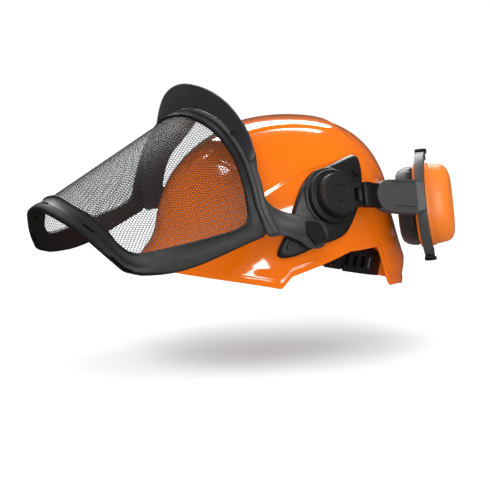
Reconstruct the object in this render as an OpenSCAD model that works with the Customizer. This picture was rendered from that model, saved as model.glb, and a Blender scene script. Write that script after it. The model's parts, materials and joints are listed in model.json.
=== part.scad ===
// Forestry safety helmet: shell, raised mesh visor, two parked ear muffs and a ratchet harness.
// Origin: middle plane, level with the nape edge. Front is -Y, the wearer's left is +X, +Z is up.

/* [Shell] */
// Half width of the shell
shell_a = 107; // [104:0.5:109]
// Half length of the shell without its peak
shell_b = 122; // [119:0.5:125]
// How far the middle of the plan sits in front of the origin
shell_fwd = 20; // [18:0.5:22]
// Height of the crown above the nape edge
crown_z = 169; // [166:0.5:173]
// Wall thickness of the shell
wall = 3; // [2.5:0.1:3.2]
// How far the peak stands out in front of the forehead
peak_out = 20; // [16:1:22]
// Height of the rolled lip along the peak
lip_h = 8; // [6:0.5:9]
// How far the nape flares outwards
nape_out = 15.5; // [12:0.5:17]
// Height of the raised band along the crown
crest_h = 2; // [1:0.5:3]

/* [Visor] */
// Half width of the visor hoop at its foot
hoop_foot_x = 113; // [112:0.5:114]
// Height of the hoop's top
hoop_top_z = 179; // [177:0.5:182]
// Width of the hoop band
hoop_w = 12; // [10:0.5:13]
// Distance of the chin rim in front of the origin
chin_y = 287; // [280:1:292]
// Height of the rain collar above the hoop
collar_h = 28; // [22:1:31]
// Thickness of the mesh frame
frame_t = 4; // [3:0.5:5]
// Sag of the frame's side bands
belly = 9; // [0:1:12]
// Depth of the seal behind the hoop's top
seal_d = 33; // [26:1:34]
// How far the seal's edge turns in towards the shell at the sides
seal_in = 10; // [0:1:16]
// Radius of the visor pivot pins
visor_pin_r = 6; // [5:0.5:7]

/* [Ear muffs] */
// Upward tilt of the muff hub's axis
hub_tilt = 17; // [15:0.5:18]
// Downward slope of the parked arm
arm_slope = 5; // [4:0.5:6]
// Inward fold of the parked arm
arm_fold = 6; // [5:0.5:7]
// Distance from the hub to the fork
arm_len = 101; // [100.5:0.5:104]
// Inward bend of the fork
fork_bend = 43; // [41:0.5:45]
// Radius of the fork's bow, on its centre line
fork_r = 48.5; // [47:0.5:50]
// Height of an ear cup
cup_h = 83.5; // [80:1:86]
// Width of an ear cup
cup_w = 76; // [70:1:80]
// Depth of an ear cup from rim to face
cup_d = 34; // [32:1:38]
// Thickness of a cushion
cushion_t = 19; // [15:0.5:20]

/* [Harness] */
// Half width of the headband
band_a = 81; // [78:0.5:83]
// Half length of the headband
band_b = 100; // [97:0.5:101]
// Height of the headband
band_h = 26; // [22:1:28]
// Downward slope of the headband towards the nape
band_slope = 12; // [11:0.5:13]
// Radius of the chin strap's bores
strap_bore_r = 2.75; // [2.5:0.05:3]

/* [Hidden] */
$fn = 64;

orange = [0.96, 0.47, 0.04];
black = [0.13, 0.13, 0.14];
dark = [0.22, 0.22, 0.23];
grey = [0.34, 0.34, 0.35];
steel = [0.7, 0.7, 0.72];

gap = 0.5;          // clearance between fixed neighbours
run = 0.05;         // radial clearance of a running fit
spring_z = 50;      // height where the dome starts to close
dome_q = 2.3;       // fullness of the dome
crown_back = 14;    // how far the crown sits behind the plan's middle
flare_top_z = 66;   // where the forehead turns into the peak
nape_top_z = 77;    // where the nape starts to flare
nape_wide_z = 28;   // where the nape is widest
plate_t = 4;        // thickness of a side adapter
visor_pivot = [116, -50.5, 70];
hub = [120, -22, 107];

// ---------- general shapes ----------

function smooth(t) = let (k = min(1, max(0, t))) k * k * (3 - 2 * k);
function unit(v) = v / norm(v);
function side_of(u) = u < 0 ? -1 : 1;
// c to the power p, keeping its sign
function signed_pow(c, p) = side_of(c) * pow(abs(c), p);
function spline(p0, p1, p2, p3, t) =
    0.5 * (2 * p1 + (p2 - p0) * t + (2 * p0 - 5 * p1 + 4 * p2 - p3) * t * t
           + (3 * p1 - p0 - 3 * p2 + p3) * t * t * t);
function flipped(p) = [for (k = [0 : len(p) - 1]) k == 0 ? -p[0] : p[k]];
// point at t in 0..1 along an open curve through the keys; one that starts at x = 0 is level there
function along(keys, t) =
    let (n = len(keys) - 1, s = min(t, 0.99999) * n, i = floor(s),
         before = keys[0][0] == 0 ? flipped(keys[1]) : 2 * keys[0] - keys[1],
         first = i == 0 ? before : keys[i - 1],
         last = i + 2 > n ? 2 * keys[n] - keys[n - 1] : keys[i + 2])
    spline(first, keys[i], keys[i + 1], last, s - i);
function closed_curve(keys, steps) =
    let (n = len(keys))
    [for (i = [0 : n - 1], k = [0 : steps - 1])
        spline(keys[(i + n - 1) % n], keys[i], keys[(i + 1) % n], keys[(i + 2) % n], k / steps)];
function mean(ring) = [for (i = [0 : len(ring) - 1]) 1] * ring / len(ring);

// solid through a list of rings of points, with both ends closed
module loft(rings) {
    n = len(rings[0]);
    m = len(rings);
    points = concat([for (r = rings, p = r) p], [mean(rings[0]), mean(rings[m - 1])]);
    sides = [for (i = [0 : m - 2], j = [0 : n - 1]) let (a = i * n + j, b = i * n + (j + 1) % n)
        each [[a, b, b + n], [a, b + n, a + n]]];
    start = [for (j = [0 : n - 1]) [m * n, (j + 1) % n, j]];
    end = [for (j = [0 : n - 1]) [m * n + 1, (m - 1) * n + j, (m - 1) * n + (j + 1) % n]];
    polyhedron(points, concat(sides, start, end));
}

// ring-shaped solid: the last ring joins the first
module loft_loop(rings) {
    n = len(rings[0]);
    m = len(rings);
    sides = [for (i = [0 : m - 1], j = [0 : n - 1])
        let (i1 = (i + 1) % m, j1 = (j + 1) % n,
             a = i * n + j, b = i * n + j1, c = i1 * n + j1, d = i1 * n + j)
        each [[a, c, b], [a, d, c]]];
    polyhedron([for (r = rings, p = r) p], sides);
}

// plate between two grids of points, with the front one where i runs right and j runs down
module panel(front, back) {
    m = len(front);
    n = len(front[0]);
    half = m * n;
    function at(i, j) = i * n + j;
    function quad(a, b, c, d) = [[a, c, b], [a, d, c]];
    skin = [for (i = [0 : m - 2], j = [0 : n - 2]) let (a = at(i, j), b = at(i + 1, j), c = b + 1, d = a + 1)
        each concat(quad(a, b, c, d), quad(half + a, half + d, half + c, half + b))];
    ends = [for (j = [0 : n - 2]) let (a = at(0, j), b = at(m - 1, j))
        each concat(quad(a, a + 1, half + a + 1, half + a), quad(b + 1, b, half + b, half + b + 1))];
    sides = [for (i = [0 : m - 2]) let (a = at(i, 0), b = at(i, n - 1))
        each concat(quad(a + n, a, half + a, half + a + n), quad(b, b + n, half + b + n, half + b))];
    polyhedron(concat([for (r = front, p = r) p], [for (r = back, p = r) p]), concat(skin, ends, sides));
}

module both() {
    children();
    mirror([1, 0, 0]) children();
}

// tips a shape that stands on the plane z = 0 so that it stands along n
module stand_along(n) { rotate([0, acos(n[2]), atan2(n[1], n[0])]) children(); }

// ---------- shell ----------

// phi runs round the plan: 0 at the wearer's left, -90 at the front, 90 at the nape
function fold_phi(phi) = phi > 90 ? 180 - phi : phi < -90 ? -180 - phi : phi;
function dome_k(z, g) = max(0, (z - spring_z) / (crown_z + g - spring_z));
function dome_h(z, g) = pow(max(0, 1 - pow(dome_k(z, g), dome_q)), 1 / dome_q);
function plan_y(z, g) = -shell_fwd + crown_back * pow(dome_k(z, g), 2);

tab_z = 17;         // lowest point of the peak's ends
front_z = 32;       // lip height at the front
arch_z = 48;        // top of the ear arch
arch_front_z = 29;  // rim height just behind the peak's end
tongue_z = 6;       // rim height where the nape begins
function rim_z(phi) =
    let (f = fold_phi(phi))
    f < -27 ? front_z - (front_z - tab_z) * pow((f + 90) / 63, 2)
    : f < -20 ? tab_z + (arch_front_z - tab_z) * smooth((f + 27) / 7)
    : f < 9 ? arch_front_z + (arch_z - arch_front_z) * (f + 20) / 29
    : tongue_z * (1 - smooth((f - 44) / 30)) + (arch_z - tongue_z) * (1 - smooth((f - 29) / 15));

function peak_flare(phi, z) =
    let (f = fold_phi(phi), t = min(1, max(0, (-20 - f) / 70)), lip = rim_z(phi) + lip_h)
    peak_out * pow(sin(90 * t), 1.2) * pow(min(1, max(0, (flare_top_z - z) / (flare_top_z - lip))), 2);
function nape_flare(phi, z) =
    nape_out * smooth((fold_phi(phi) - 25) / 50)
    * (z > nape_wide_z ? pow(max(0, 1 - (z - nape_wide_z) / (nape_top_z - nape_wide_z)), 1.2)
       : 1 - 0.12 * pow((nape_wide_z - z) / nape_wide_z, 2));
function flare(phi, z) = peak_flare(phi, z) + nape_flare(phi, z);

// crest: a low band over the crown that widens towards the back
function crest(x, y, z) =
    crest_h * smooth((44 + 0.35 * y - abs(x)) / 6) * smooth((z - 95) / 40);

// point of the skin at plan angle phi and height z, moved outwards by g
function skin(phi, z, g) =
    let (h = dome_h(z, g), f = flare(phi, z) + g,
         x = (shell_a + f) * cos(phi) * h,
         y = plan_y(z, g) + (shell_b + f) * sin(phi) * h)
    [x, y, z + crest(x, y, z)];
// x of the skin at a given y and height
function side_x(y, z, g) =
    let (h = dome_h(z, g), s = (y - plan_y(z, g)) / (shell_b + g),
         phi = asin(min(1, max(-1, s / h))))
    (shell_a + g) * sqrt(max(0, h * h - s * s)) + flare(phi, z) * cos(phi);

shell_cols = 80;
lip_rows = 2;
low_rows = 5;
dome_rows = 15;
// heights of one column of the shell, from the rim to just short of the crown
function column(phi, g) =
    let (rim = rim_z(phi), lip = min(lip_h, (spring_z - rim) * 0.4))
    concat([for (i = [0 : lip_rows - 1]) rim + lip * i / lip_rows],
           [for (i = [0 : low_rows - 1]) rim + lip + (spring_z - rim - lip) * i / low_rows],
           [for (i = [0 : dome_rows - 1])
               spring_z + (crown_z + g - spring_z) * pow(sin(87.5 * i / (dome_rows - 1)), 2 / dome_q)]);
function shell_ring(i, g) = [for (j = [0 : shell_cols - 1])
    let (phi = -180 + (j + 0.5) * 360 / shell_cols) skin(phi, column(phi, g)[i], g)];

module shell() {
    rows = lip_rows + low_rows + dome_rows;
    color(orange) loft(concat([for (i = [rows - 1 : -1 : 0]) shell_ring(i, 0)],
                              [for (i = [0 : rows - 1]) shell_ring(i, -wall)]));
}

// ---------- side adapters and their bosses ----------

adapter_keys = [[21, 137], [24, 125], [15, 101], [1, 78], [-13, 64], [-41, 56], [-66, 47],
                [-79, 49], [-71, 70], [-58, 100], [-43, 119], [-18, 129]];
adapter_mid = [-28, 95];
function on_side(p, g) = [side_x(p[0], p[1], g), p[0], p[1]];

function side_normal(p, g) =
    let (dy = on_side(p + [2, 0], g) - on_side(p - [2, 0], g),
         dz = on_side(p + [0, 2], g) - on_side(p - [0, 2], g))
    unit(cross(dy, dz));

module side_adapter() {
    outline = closed_curve(adapter_keys, 4);
    function ring(k, g) = [for (p = outline) on_side(adapter_mid + (p - adapter_mid) * k, g)];
    scales = [0.05, 0.25, 0.45, 0.65, 0.83, 0.95];
    color(dark) loft(concat(
        [for (k = scales) ring(k, gap)], [ring(1, gap)], [ring(1, gap + plate_t * 0.6)],
        [for (i = [len(scales) - 1 : -1 : 0]) ring(scales[i], gap + plate_t)]));
}
module side_adapter_left() { side_adapter(); }
module side_adapter_right() { mirror([1, 0, 0]) side_adapter(); }

// boss between an adapter's curved face and a flat round top
module boss(top, axis, up, r, r_top) {
    side = cross(up, axis);
    turns = 40;
    depth = 14;
    function rim_pt(a, rr) = top + side * rr * cos(a) + up * rr * sin(a);
    function foot(a, rr) =
        let (p = rim_pt(a, rr) - axis * depth)
        on_side([p[1], p[2]], gap + plate_t + 0.3);
    color(dark) loft(concat(
        [for (k = [0.1, 0.3, 0.55, 0.8, 1]) [for (j = [0 : turns - 1]) foot(-j * 360 / turns, r * k)]],
        [[for (j = [0 : turns - 1]) rim_pt(-j * 360 / turns, r) - axis * 3]],
        [[for (j = [0 : turns - 1]) rim_pt(-j * 360 / turns, r_top)]]));
}

hub_axis = [cos(hub_tilt), 0, sin(hub_tilt)];
hub_up = [-sin(hub_tilt), 0, cos(hub_tilt)];
boss_top_s = -12;      // top of the hub boss, measured inwards from the cap's face
visor_base_x = 111.2;  // outer face of the visor boss
module hub_bases() { both() boss(hub + hub_axis * boss_top_s, hub_axis, hub_up, 26, 24); }
module visor_bases() {
    both() boss([visor_base_x, visor_pivot[1], visor_pivot[2]], [1, 0, 0], [0, 0, 1], 13, 12.5);
}

spindle_r = 7;
// frame of the hub: x backwards, y up, z outwards, origin at the centre of the cap's face
module hub_frame() { translate(hub) rotate([0, -hub_tilt, 0]) rotate([90, 0, 90]) children(); }

module hub_spindle() {
    color(steel) hub_frame() translate([0, 0, boss_top_s + 0.1]) cylinder(r = spindle_r, h = 7.4);
}
module hub_spindles() { both() hub_spindle(); }

module visor_pin() {
    color(steel) translate([visor_base_x + 0.1, visor_pivot[1], visor_pivot[2]]) rotate([0, 90, 0])
        cylinder(r = visor_pin_r, h = 3.8);
}
module visor_pins() { both() visor_pin(); }

screw_places = [[13, 122], [-69, 58]];
module adapter_screws() {
    color(steel) both() for (p = screw_places) {
        n = side_normal(p, gap + plate_t);
        translate(on_side(p, gap + plate_t) + n * 0.3) stand_along(n) difference() {
            cylinder(r = 3.5, h = 2.2);
            translate([0, 0, 1.2]) cylinder(r = 1.8, h = 2, $fn = 6);
        }
    }
}

// ---------- visor ----------

hoop_keys = [[0, -115.7, hoop_top_z], [46, -114.4, 170], [78, -111.5, 147], [96, -111, 121],
             [106.5, -109.5, 95], [hoop_foot_x, -100.5, 72]];
chin_keys = [[0, -chin_y, 95], [30, -chin_y + 6, 88.5], [58, -chin_y + 23, 72], [80, -chin_y + 45, 52],
             [88, -chin_y + 58, 42]];
hoop_back = unit([0, 1, 0.15]);
// u runs from -1 at the right foot over the top to 1 at the left foot
function hoop_pt(u) = let (p = along(hoop_keys, abs(u))) [side_of(u) * p[0], p[1], p[2]];
function chin_pt(u) = let (p = along(chin_keys, abs(u))) [side_of(u) * p[0], p[1], p[2]];
// v runs from 0 at the hoop to 1 at the chin; the bands at the sides sag
function sheet_pt(u, v) =
    hoop_pt(u) * (1 - v) + chin_pt(u) * v
    - [0, 0, belly * smooth((abs(u) - 0.8) / 0.2) * sin(180 * pow(min(1, v), 1.45))];
// unit normal of the sheet, towards the face
function sheet_normal(u, v) =
    let (e = 0.02, a = min(1, u + e), b = max(-1, u - e), c = max(0, v - e))
    unit(cross(sheet_pt(a, v) - sheet_pt(b, v), sheet_pt(u, v + e) - sheet_pt(u, c)));
function hoop_out(u) =
    let (a = min(1, u + 0.02), b = max(-1, u - 0.02)) unit(cross(hoop_pt(a) - hoop_pt(b), hoop_back));

// band that lies behind the groove, with rounded outer edges
function hoop_ring(u) =
    let (p = hoop_pt(u), o = hoop_out(u))
    [for (c = [[0.4, -2.5], [hoop_w, -2.5], [hoop_w, 1.5], [hoop_w - 2, 3], [2, 3], [0.4, 1.8]])
        p + hoop_back * c[0] + o * c[1]];

arm_x = 111.6;     // inner face of the visor arm at the pivot
arm_out_x = 119.8; // outer face of the visor arm at the pivot
pocket_x = 115.4;  // floor of the button pocket
arm_r = 15.4;
arm_top = [[-43, 77], [-49, 82], [-61, 87.5], [-82, 93], [-95, 101], [-106, 113]];
arm_bottom = [[-40, 57], [-52, 54.5], [-66, 63], [-79, 69], [-89, 70.8], [-99.8, 71.5]];
function hoop_x(z) = lookup(z, [for (k = hoop_keys) [k[2], k[0]]]);
// point of the arm: s runs from the pivot to the hoop, t from the lower edge to the upper one
function arm_pt(s, t, at_pivot, at_hoop) =
    let (p = along(arm_bottom, s) * (1 - t) + along(arm_top, s) * t, w = smooth((-58 - p[0]) / 36))
    [at_pivot * (1 - w) + (hoop_x(p[1]) + at_hoop) * w, p[0], p[1]];
module visor_arm() {
    function grid(at_pivot, at_hoop) =
        [for (i = [0 : 14]) [for (j = [0 : 5]) arm_pt(i / 14, j / 5, at_pivot, at_hoop)]];
    panel(grid(arm_x, -2.4), grid(arm_out_x, 3.4));
    translate([arm_x, visor_pivot[1], visor_pivot[2]]) rotate([0, 90, 0])
        cylinder(r = arm_r, h = arm_out_x - arm_x);
}
// outline of the button, as drops and distances backwards from the pivot
button_keys = [[-11.5, -11.9], [-12.4, -7.2], [-9.4, 5], [6.1, 11.8], [11.1, -0.4], [-1.8, -10.8]];
module button_shape(size) { polygon(button_keys * size); }
module visor_hoop() {
    steps = 60;
    color(black) difference() {
        union() {
            loft([for (i = [steps : -1 : 0]) hoop_ring(-1 + 2 * i / steps)]);
            both() visor_arm();
        }
        both() translate([0, visor_pivot[1], visor_pivot[2]]) rotate([0, 90, 0]) {
            cylinder(r = visor_pin_r + run, h = 200);
            translate([0, 0, pocket_x]) linear_extrude(20) button_shape(1.03);
        }
    }
}
module visor_button() {
    color(dark) translate([pocket_x + 2.3, visor_pivot[1], visor_pivot[2]]) rotate([0, 90, 0]) {
        linear_extrude(3.2) button_shape(1);
        translate([0, 0, 3.2]) linear_extrude(0.8) button_shape(0.75);
    }
}
module visor_button_left() { visor_button(); }
module visor_button_right() { mirror([1, 0, 0]) visor_button(); }

collar_end = 0.48;
// w runs from the hoop to the collar's edge, which stands up and leans back towards the sides
function collar_pt(u, w, side) =
    let (p = hoop_pt(u), o = hoop_out(u), k = abs(u) / collar_end, h = collar_h * pow(1 - k * k, 0.8) + 1)
    p + o * 3.5 + unit([o[0] * 0.35, 0, 1]) * h * w + hoop_back * (5 - 7 * w + 13 * w * k + side * 1.25);
module visor_collar() {
    cols = 36;
    rows = 4;
    function grid(side) = [for (i = [0 : cols])
        [for (j = [0 : rows]) collar_pt(collar_end * (-1 + 2 * i / cols) * 0.999, j / rows, side)]];
    color(black) panel(grid(-1), grid(1));
}

seal_end = 0.92;
seal_side_d = 18;
// flange inside the hoop that reaches back and inwards over the shell's front; w runs backwards
function seal_pt(u, w, side) =
    let (depth = seal_side_d + (seal_d - seal_side_d) * (1 - smooth((abs(u) - 0.15) / 0.45)),
         inward = seal_in * smooth((abs(u) - 0.05) / 0.3) * pow(w, 1.3))
    hoop_pt(u) + hoop_back * (1 + (depth - 1) * w) - hoop_out(u) * (3.8 + inward - 0.8 * side);
module visor_seal() {
    cols = 44;
    rows = 3;
    function grid(side) = [for (i = [0 : cols])
        [for (j = [0 : rows]) seal_pt(seal_end * (-1 + 2 * i / cols), j / rows, side)]];
    color(black) panel(grid(1), grid(-1));
}

// left halves of the window's outline and of the frame's outer edge, as u and v, from the hoop to the chin
window_half = [[0, 0.042], [0.25, 0.042], [0.47, 0.042], [0.68, 0.052], [0.82, 0.08],
               [0.862, 0.17], [0.845, 0.35], [0.81, 0.58], [0.755, 0.79], [0.7, 0.88],
               [0.6, 0.893], [0.5, 0.872], [0.37, 0.858], [0.2, 0.868], [0, 0.86]];
edge_half = [[0, 0.004], [0.25, 0.004], [0.47, 0.004], [0.68, 0.004], [0.9, 0.004],
             [1, 0.05], [1, 0.3], [1, 0.58], [1, 0.83], [1, 0.98],
             [0.87, 1.035], [0.68, 1.02], [0.45, 0.99], [0.22, 0.985], [0, 0.985]];
function whole(half) = concat(half, [for (i = [len(half) - 2 : -1 : 1]) [-half[i][0], half[i][1]]]);
function on_sheet(p, t) = sheet_pt(p[0], p[1]) + sheet_normal(p[0], p[1]) * t;

slot_us = [-0.42, 0, 0.42];
slot_v = 0.935;
module visor_frame() {
    inner = closed_curve(whole(window_half), 3);
    outer = closed_curve(whole(edge_half), 3);
    t = frame_t / 2;
    section = [[0, -t], [0, t], [0.33, t], [0.67, t], [1, t], [1, -t], [0.67, -t], [0.33, -t]];
    color(black) difference() {
        loft_loop([for (i = [0 : len(inner) - 1]) [for (k = section)
            let (p = inner[i] * (1 - k[0]) + outer[i] * k[0])
            on_sheet([max(-1, min(1, p[0])), max(0.004, p[1])], k[1])]]);
        for (u = slot_us) translate(sheet_pt(u, slot_v)) stand_along(sheet_normal(u, slot_v))
            cube([2.4, 13, 12], center = true);
    }
}
module visor_mesh() {
    outline = closed_curve(whole(window_half), 3);
    middle = [0, 0.45];
    function ring(k, t) = [for (p = outline) on_sheet(middle + (p - middle) * k, t)];
    scales = [0.05, 0.25, 0.45, 0.65, 0.83, 0.994];
    last = len(scales) - 1;
    color(grey) loft(concat([for (i = [0 : last]) ring(scales[i], 0.4)],
                            [for (i = [last : -1 : 0]) ring(scales[i], -0.4)]));
}

// ---------- ear muff hub and arm ----------

disc_r = 21;
disc_z0 = boss_top_s + 0.4;
disc_z1 = -3.2;
fold_x = 26;
fold_z = -7.5;
knuckle_r = 4;
fold_pin_r = 1.6;
module turntable() {
    color(dark) hub_frame() rotate([0, 0, -arm_slope]) difference() {
        union() {
            translate([0, 0, disc_z0]) cylinder(r = disc_r, h = disc_z1 - disc_z0);
            for (s = [-1, 1]) translate([0, s * 9 - 2.5, fold_z - knuckle_r])
                cube([fold_x, 5, 2 * knuckle_r]);
            for (s = [-1, 1]) translate([fold_x, s * 9 + 2.5, fold_z]) rotate([90, 0, 0])
                cylinder(r = knuckle_r, h = 5);
        }
        translate([0, 0, disc_z0 - 5]) cylinder(r = spindle_r + run, h = 13);
        translate([fold_x, 20, fold_z]) rotate([90, 0, 0]) cylinder(r = fold_pin_r + run, h = 40);
        translate([disc_r - 3.5, -6.3, disc_z0 - 5]) cube([20, 12.6, 20]);
    }
}
module turntable_left() { turntable(); }
module turntable_right() { mirror([1, 0, 0]) turntable(); }

module fold_pin() {
    color(steel) hub_frame() rotate([0, 0, -arm_slope]) translate([fold_x, 11.4, fold_z]) rotate([90, 0, 0])
        cylinder(r = fold_pin_r, h = 22.8);
}
module fold_pin_left() { fold_pin(); }
module fold_pin_right() { mirror([1, 0, 0]) fold_pin(); }

cap_r = 20.7;
cap_flat_x = 15;
module hub_cap() {
    color(dark) hub_frame() rotate([0, 0, -arm_slope]) difference() {
        union() {
            translate([0, 0, disc_z1 + 0.1]) cylinder(r = cap_r, h = 2.1);
            translate([0, 0, disc_z1 + 2.2]) cylinder(r = cap_r - 1.5, h = 1);
        }
        translate([cap_flat_x, -30, -10]) cube([20, 60, 20]);
        translate([0, 0, -0.8]) difference() {
            cylinder(r = 9.3, h = 3);
            cylinder(r = 7.8, h = 3);
            translate([-9.3, -2, 0]) cube([18.6, 4, 3]);
        }
        translate([-1, -14, -0.8]) cube([2, 5, 3]);
    }
}
module hub_cap_left() { hub_cap(); }
module hub_cap_right() { mirror([1, 0, 0]) hub_cap(); }

// the folded arm turns about the fold pin, so its frame is placed there
module folded() {
    hub_frame() rotate([0, 0, -arm_slope]) translate([fold_x, 0, fold_z]) rotate([0, arm_fold, 0])
        translate([-fold_x, 0, -fold_z]) children();
}

arm_h = 23;
arm_z0 = -9;
arm_z1 = -4;
arm_end = 90;
module muff_arm() {
    color(black) folded() difference() {
        union() {
            translate([fold_x, 0, fold_z]) rotate([90, 0, 0]) translate([0, 0, -6.1])
                cylinder(r = knuckle_r, h = 12.2);
            translate([fold_x, -6.1, arm_z0]) cube([8, 12.2, arm_z1 - arm_z0]);
            translate([fold_x + 5.5, -arm_h / 2, arm_z0])
                cube([arm_end - fold_x - 5.5, arm_h, arm_z1 - arm_z0]);
            for (s = [-1, 1]) translate([fold_x + 8, s * 7.5 - 1, arm_z1 - 0.5])
                cube([8, 2, 1.6]);
        }
        translate([fold_x, 20, fold_z]) rotate([90, 0, 0]) cylinder(r = fold_pin_r + run, h = 40);
        for (i = [0 : 4]) translate([40 + 10 * i, -2, arm_z0 - 1]) cube([6, 4, 10]);
    }
}
module muff_arm_left() { muff_arm(); }
module muff_arm_right() { mirror([1, 0, 0]) muff_arm(); }

// ---------- yoke: sleeve and fork ----------

sleeve_x0 = 50;
sleeve_x1 = 95;
sleeve_z0 = -11.6;
sleeve_z1 = -1.4;
fork_z = -4;
bow_t = 8;
bow_w = 9;
module fork_frame() { folded() translate([arm_len, 0, fork_z]) rotate([0, fork_bend, 0]) children(); }
// frame of the cup: origin on the clip axis, y along that axis, z out of the cup's face
module cup_frame() { fork_frame() translate([fork_r, 0, 0]) children(); }

module sleeve_body() {
    height = 31;
    translate([0, 0, sleeve_z0]) linear_extrude(sleeve_z1 - sleeve_z0) union() {
        translate([sleeve_x0 + height / 2 - 6, 0]) intersection() {
            circle(r = height / 2);
            translate([-20, -height / 2]) square([20, height]);
        }
        polygon([[sleeve_x0 + height / 2 - 7, -height / 2], [sleeve_x1, -17], [sleeve_x1, 17],
                 [sleeve_x0 + height / 2 - 7, height / 2]]);
    }
}
module muff_yoke() {
    color(grey) union() {
        folded() difference() {
            sleeve_body();
            translate([sleeve_x0 - 20, -arm_h / 2 - 0.3, arm_z0 - 0.3])
                cube([sleeve_x1 - sleeve_x0 + 16, arm_h + 0.6, arm_z1 - arm_z0 + 0.6]);
            for (s = [-1, 1]) translate([sleeve_x0 + 14, s * 12 - 2.5, sleeve_z1 - 1]) cube([28, 5, 3]);
        }
        folded() hull() {
            translate([sleeve_x1 - 2, -15, sleeve_z0 + 0.5]) cube([2, 30, 9.2]);
            translate([arm_len, 0, fork_z]) rotate([0, fork_bend, 0]) translate([-4, -13, -bow_w / 2])
                cube([5, 26, bow_w]);
        }
        cup_frame() difference() {
            translate([0, 0, -bow_w / 2]) rotate([0, 0, 90]) rotate_extrude(angle = 180)
                translate([fork_r - bow_t / 2, 0]) square([bow_t, bow_w]);
            for (s = [-1, 1]) translate([0, s * fork_r, 0]) rotate([90, 0, 0])
                cylinder(r = clip_pin_r + run, h = 40, center = true);
        }
    }
}
module muff_yoke_left() { muff_yoke(); }
module muff_yoke_right() { mirror([1, 0, 0]) muff_yoke(); }

clip_pin_r = 2.5;
module fork_clips() {
    clip_w = 20;
    color(black) cup_frame() for (s = [-1, 1]) mirror([0, s > 0 ? 0 : 1, 0]) {
        translate([0, fork_r + bow_t / 2 + 0.2, 0]) rotate([-90, 0, 0]) cylinder(r = 6, h = 3);
        translate([-clip_w / 2, fork_r + bow_t / 2 + 0.2, -5]) cube([clip_w, 2, 10]);
        translate([0, cup_h / 2 - 5, 0]) rotate([-90, 0, 0])
            cylinder(r = clip_pin_r, h = fork_r + 6 - cup_h / 2);
    }
}
module fork_clips_left() { fork_clips(); }
module fork_clips_right() { mirror([1, 0, 0]) fork_clips(); }

// ---------- ear cup ----------

cup_rim_z = -8;
cup_wall = 2.6;
// rounded outline of the cup, shrunk by an inset, at height z of the cup frame
function cup_ring(inset, z, turns = 48) = [for (j = [0 : turns - 1])
    let (a = -j * 360 / turns, e = 2 / 2.7)
    [(cup_w / 2 - inset) * signed_pow(cos(a), e), (cup_h / 2 - inset) * signed_pow(sin(a), e), z]];
module cup() {
    top = cup_rim_z + cup_d;
    color(orange) cup_frame() difference() {
        loft([cup_ring(30, top - cup_wall), cup_ring(12, top - cup_wall), cup_ring(cup_wall + 5, top - 9),
              cup_ring(cup_wall + 1, 0), cup_ring(cup_wall + 1, cup_rim_z),
              cup_ring(1.5, cup_rim_z), cup_ring(0, cup_rim_z + 1), cup_ring(0, cup_rim_z + 2.5),
              cup_ring(1.2, cup_rim_z + 4), cup_ring(1.2, 6), cup_ring(2.4, 12),
              cup_ring(4, top - 5), cup_ring(9, top - 1.5), cup_ring(14, top - 0.3), cup_ring(26, top),
              cup_ring(33, top)]);
        for (s = [-1, 1]) translate([0, s * cup_h / 2, 0]) rotate([90, 0, 0])
            cylinder(r = clip_pin_r + run, h = 16, center = true);
    }
}
module cup_left() { cup(); }
module cup_right() { mirror([1, 0, 0]) cup(); }

module cup_liner() {
    z0 = cup_rim_z + 0.4;
    z1 = z0 + 1.8;
    edge = cup_wall + 1.4;
    color(black) cup_frame()
        loft_loop([cup_ring(16, z1), cup_ring(edge, z1), cup_ring(edge, z0), cup_ring(16, z0)]);
}
module cup_liner_left() { cup_liner(); }
module cup_liner_right() { mirror([1, 0, 0]) cup_liner(); }

module cup_foam() {
    color(dark) cup_frame() loft([cup_ring(24, cup_rim_z + 3), cup_ring(9, cup_rim_z + 3), cup_ring(9.5, 1),
        cup_ring(14, cup_rim_z + cup_d - 12), cup_ring(30, cup_rim_z + cup_d - 10)]);
}
module cup_foam_left() { cup_foam(); }
module cup_foam_right() { mirror([1, 0, 0]) cup_foam(); }

module cushion() {
    z0 = cup_rim_z - 0.4;
    z1 = z0 - cushion_t;
    section = [[20, z0], [2, z0], [0.8, z0 - 4], [1.5, z0 - 9], [5, z1 + 2], [10, z1], [15, z1 + 1],
               [19, z1 + 5], [20.5, z0 - 6]];
    color(black) cup_frame() loft_loop([for (p = section) cup_ring(p[0], p[1])]);
}
module cushion_left() { cushion(); }
module cushion_right() { mirror([1, 0, 0]) cushion(); }

// ---------- harness ----------

band_t = 2;
band_fwd = 20;
band_z = 28;
// frame of the headband: its lower edge lies in the plane z = 0
module band_frame() { translate([0, 0, band_z]) rotate([-band_slope, 0, 0]) children(); }
function band_pt(phi, a, b, e) =
    [a * signed_pow(cos(phi), 2 / e), b * signed_pow(sin(phi), 2 / e) - band_fwd];
function band_arc(f0, f1, a, b, e, t, n = 40) = concat(
    [for (i = [0 : n]) band_pt(f0 + (f1 - f0) * i / n, a, b, e)],
    [for (i = [n : -1 : 0]) band_pt(f0 + (f1 - f0) * i / n, a - t, b - t, e)]);

lug_y = -5;
lug_drop = 1;
module headband() {
    color(black) difference() {
        union() {
            band_frame() linear_extrude(band_h) polygon(band_arc(-215, 35, band_a, band_b, 2.3, band_t, 72));
            both() band_frame() translate([band_a - band_t - 0.2, lug_y - 9, -lug_drop])
                cube([band_t + 1, 18, 16]);
        }
        translate([-150, lug_y, band_z - lug_drop + 6.5]) rotate([0, 90, 0])
            cylinder(r = strap_bore_r, h = 300);
        both() band_frame() for (y = [-70, -50]) translate([40, y, 8]) cube([60, 12, 8]);
    }
}
module brow_pad() {
    color(dark) band_frame() translate([0, 0, -3]) linear_extrude(band_h + 4)
        polygon(band_arc(-150, -30, band_a - band_t - 0.4, band_b - band_t - 0.4, 2.3, 5, 48));
}

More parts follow.
